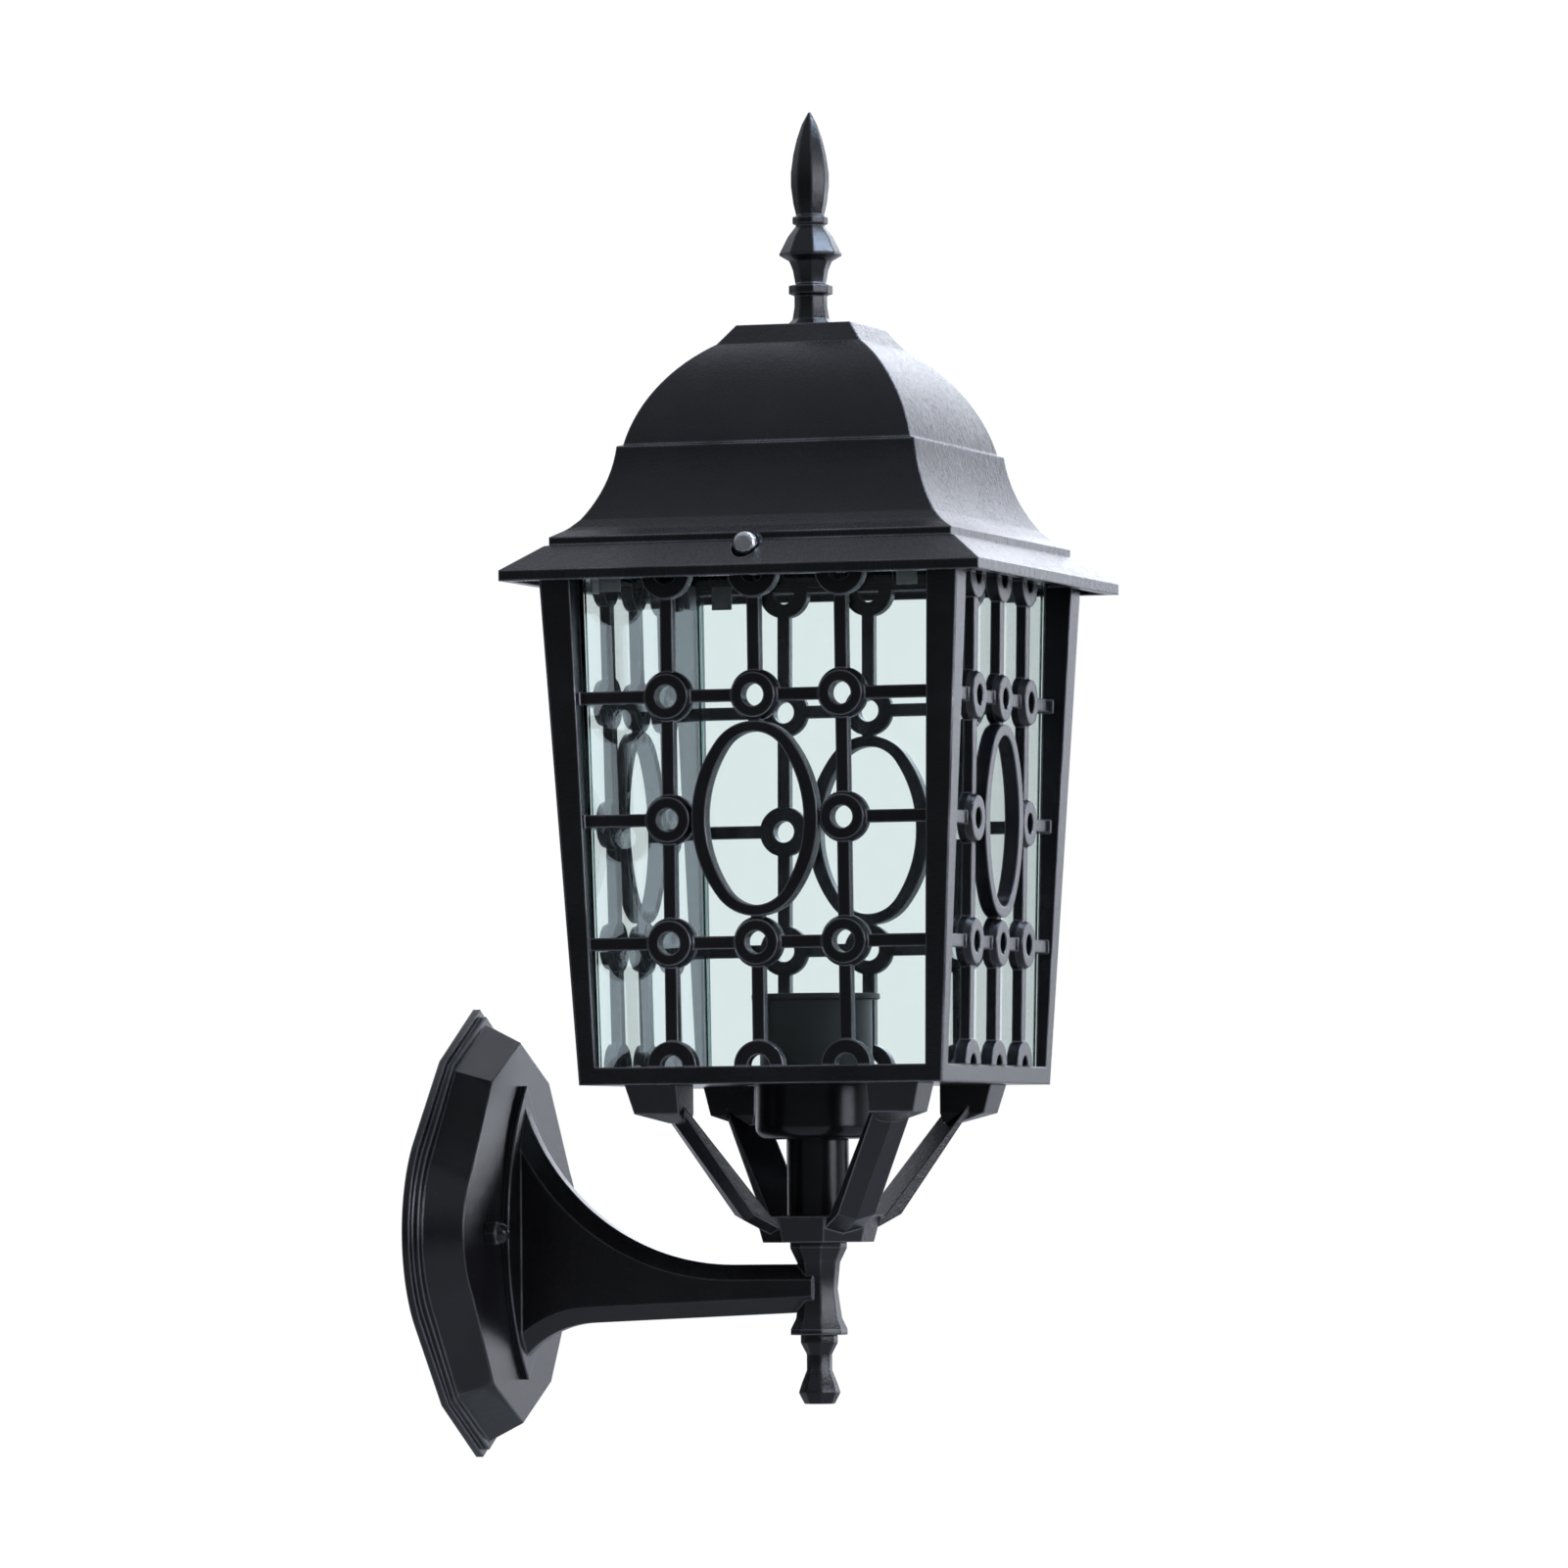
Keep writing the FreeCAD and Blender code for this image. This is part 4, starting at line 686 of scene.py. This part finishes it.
# Glass clips: spring strips folded over the tops of the panes, two to a panel.
# They are cut from zinc-plated strip and keep the panes against the lattice.
CLIP_EDGE = 0.0002
finished("spring_clips", rounded_copy("glass_clips", CLIP_EDGE), "zinc_steel", "glass_clips", zinc)

# Roof: one thin casting with a flat cap, a domed slope, an ogee, mouldings and a plain eave.
# Its faces were dressed up and down before the black was sprayed on, and the marks show in the shine.
ROOF_ROUGH = 0.35
ROOF_STREAKS = 0.5
dressed_black = black_coat("satin_black_roof", CAST_GLOSS, ROOF_ROUGH, ROOF_STREAKS)
wear("roof", dressed_black)

# Roof screws: two pan heads with cross recesses, one through each of two sides of the roof.
# They are bright plated, and hold the roof to tabs on the panels.
ROOF_HEAD_TALL = 0.004
ROOF_SHANK = 0.002
ROOF_SCREW_LENGTH = 0.0105
ROOF_RECESS = 1.2
BRIGHT = (0.8, 0.81, 0.83, 1)
BRIGHT_GLOSS = 0.14
bright = plated("bright_plate", BRIGHT, BRIGHT_GLOSS)
low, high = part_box("roof_screws")
middle = (low + high) / 2
roof_head = (high.z - low.z) / 2
roof_screw_parts = []
for seat, way in ((low.x + ROOF_HEAD_TALL, (-1, 0, 0)), (high.x - ROOF_HEAD_TALL, (1, 0, 0))):
    screw = pan_screw(roof_head, ROOF_HEAD_TALL, ROOF_SHANK, ROOF_SCREW_LENGTH, ROOF_RECESS)
    roof_screw_parts.append((screw, (seat, middle.y, middle.z), way))
finished("roof_fixings", gathered(roof_screw_parts), "bright_steel", "roof_screws", bright)

# Finial: an eight-sided casting of a spear on a bell, under the same black as the other castings.
# A zinc-plated bolt and nut inside the roof draw it down on the flat cap.
FINIAL_EDGE = 0.00025
BOLT_PITCH = 0.001
finished("finial_casting", rounded_copy("finial", FINIAL_EDGE), "cast_black", "finial", satin_black)
finished("roof_nut", rounded_copy("finial_nut", NUT_EDGE), "zinc_steel", "finial_nut", zinc)
low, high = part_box("finial_bolt")
middle = (low + high) / 2
bolt = threaded_rod((high.x - low.x) / 2, BOLT_PITCH, high.z - low.z)
bolt_parts = [(bolt, (middle.x, middle.y, low.z), UP)]
finished("roof_bolt", gathered(bolt_parts), "zinc_steel", "finial_bolt", zinc)

# Floor: a plain pale sheet far below the hung lamp. It stands for the ground and takes the shadow.
# Its underside is clear, so that the lamp can be looked at from below.
FLOOR_DROP = 0.6
FLOOR_HALF = 4.0
FLOOR_LIFT = 0.6
PALE_GREY = (0.45, 0.45, 0.45, 1)
floor_mesh = bmesh.new()
bmesh.ops.create_grid(floor_mesh, x_segments=1, y_segments=1, size=FLOOR_HALF)
bmesh.ops.translate(floor_mesh, verts=floor_mesh.verts, vec=(0, 0, -FLOOR_DROP))
floor_data = bpy.data.meshes.new("floor")
floor_mesh.to_mesh(floor_data)
floor_mesh.free()
floor = bpy.data.objects.new("floor", floor_data)
bpy.context.collection.objects.link(floor)


def seen_behind(finish):
    """1 for what the viewer sees straight or through the glass, and 0 for light and for mirrored views.

    The black mirrors only the sky that lights it, or else its shaded sides would turn grey.
    """
    camera = finish.node("ShaderNodeLightPath", {}, {}, output="Is Camera Ray")
    mirrored = ramp(finish, camera.other("Glossy Depth"), 0.0, 1.0)
    return camera + camera.other("Is Transmission Ray") * (1.0 - mirrored)


pale_floor, ground = new_finish("pale_floor")
matte = ground.node("ShaderNodeBsdfDiffuse", {}, {"Color": PALE_GREY})
lift = ground.node("ShaderNodeEmission", {}, {"Strength": FLOOR_LIFT * seen_behind(ground)})
lit = ground.node("ShaderNodeAddShader", {}, {0: matte, 1: lift})
underside = ground.node("ShaderNodeNewGeometry", {}, {}, output="Backfacing")
clear = ground.node("ShaderNodeBsdfTransparent", {}, {})
show(ground, ground.node("ShaderNodeMixShader", {}, {0: underside, 1: lit, 2: clear}))
floor_data.materials.append(pale_floor)

# Light: a white sky that the lamp is seen against, dim on the viewer's side and towards the ground.
# Three soft panels, two behind and one to the right, draw long highlights on the black. Two bluer ones
# above light the finial's bell and the upper edges.
SKY_WAY = (0.98, -0.06, 0.2)
SKY_OPENING = (0.15, 0.75)
SKY_DIMMING = (0.0, 0.6, 0.08, 0.45)
SKY_BLUE = (0.86, 0.9, 1, 1)
HIGH_BLUE = (0.62, 0.77, 1, 1)
WHITE = (1, 1, 1, 1)
LANTERN_MIDDLE = (0, -0.138, 0.2)
world = bpy.data.worlds.new("sky")
bpy.context.scene.world = world
world.use_nodes = True
world.node_tree.nodes.clear()
sky = Finish(world.node_tree)
seen = seen_behind(sky)
way = sky.node("ShaderNodeTexCoord", {}, {}, output="Generated")
toward = sky.node(
    "ShaderNodeVectorMath", {"operation": "DOT_PRODUCT"}, {0: way, 1: SKY_WAY}, output="Value"
)
tall = sky.node("ShaderNodeSeparateXYZ", {}, {0: way}, output="Z")
dim = ramp(sky, tall, *SKY_DIMMING)
open_sky = ramp(sky, toward, *SKY_OPENING)
around = dim + open_sky * (1.0 - dim)
strength = around + seen * (1.0 - around)
colour = tint(sky, seen, SKY_BLUE, WHITE)
glow = sky.node("ShaderNodeBackground", {}, {"Color": colour, "Strength": strength})
sky.node("ShaderNodeOutputWorld", {}, {"Surface": glow})


def soft_lamp(name, place, size, power, colour):
    """A square panel of light that faces the lantern and isn't seen itself."""
    data = bpy.data.lights.new(name, "AREA")
    data.size = size
    data.energy = power
    data.color = colour[:3]
    lamp = bpy.data.objects.new(name, data)
    lamp.location = place
    lamp.rotation_euler = (Vector(LANTERN_MIDDLE) - Vector(place)).to_track_quat("-Z", "Y").to_euler()
    lamp.visible_camera = False
    lamp.visible_transmission = False
    bpy.context.collection.objects.link(lamp)


soft_lamp("rear_panel_light", (2.4, 0.25, 1.0), 1.5, 15, SKY_BLUE)
soft_lamp("low_rear_light", (2.4, -1.45, 0.3), 0.6, 4, SKY_BLUE)
soft_lamp("right_light", (-0.6, -2.6, 0.6), 1.1, 22, SKY_BLUE)
soft_lamp("top_light", (0.55, -0.75, 2.3), 0.8, 12, HIGH_BLUE)
soft_lamp("high_right_light", (0.05, -1.6, 1.9), 0.5, 24, HIGH_BLUE)

# Camera: at the photograph's place, about level with the middle of the wall plate and looking a little up.
# It stands well back with a long lens, and is rolled by half a degree as the photograph is.
VIEW_PLACE = (-3.7925, -1.3409, 0.0077)
VIEW_HEADING = math.radians(-72.229)
VIEW_TILT = math.radians(90 + 2.318)
VIEW_ROLL = math.radians(-0.461)
VIEW_LENS = 241.86
VIEW_SENSOR = 36
VIEW_FAR = 200
view_data = bpy.data.cameras.new("view")
view_data.sensor_width = VIEW_SENSOR
view_data.lens = VIEW_LENS
view_data.clip_end = VIEW_FAR
view = bpy.data.objects.new("view", view_data)
turned_view = Euler((VIEW_TILT, 0, VIEW_HEADING)).to_matrix() @ Matrix.Rotation(VIEW_ROLL, 3, "Z")
view.matrix_world = Matrix.Translation(VIEW_PLACE) @ turned_view.to_4x4()
bpy.context.collection.objects.link(view)
bpy.context.scene.camera = view
bpy.context.scene.view_settings.view_transform = "Standard"
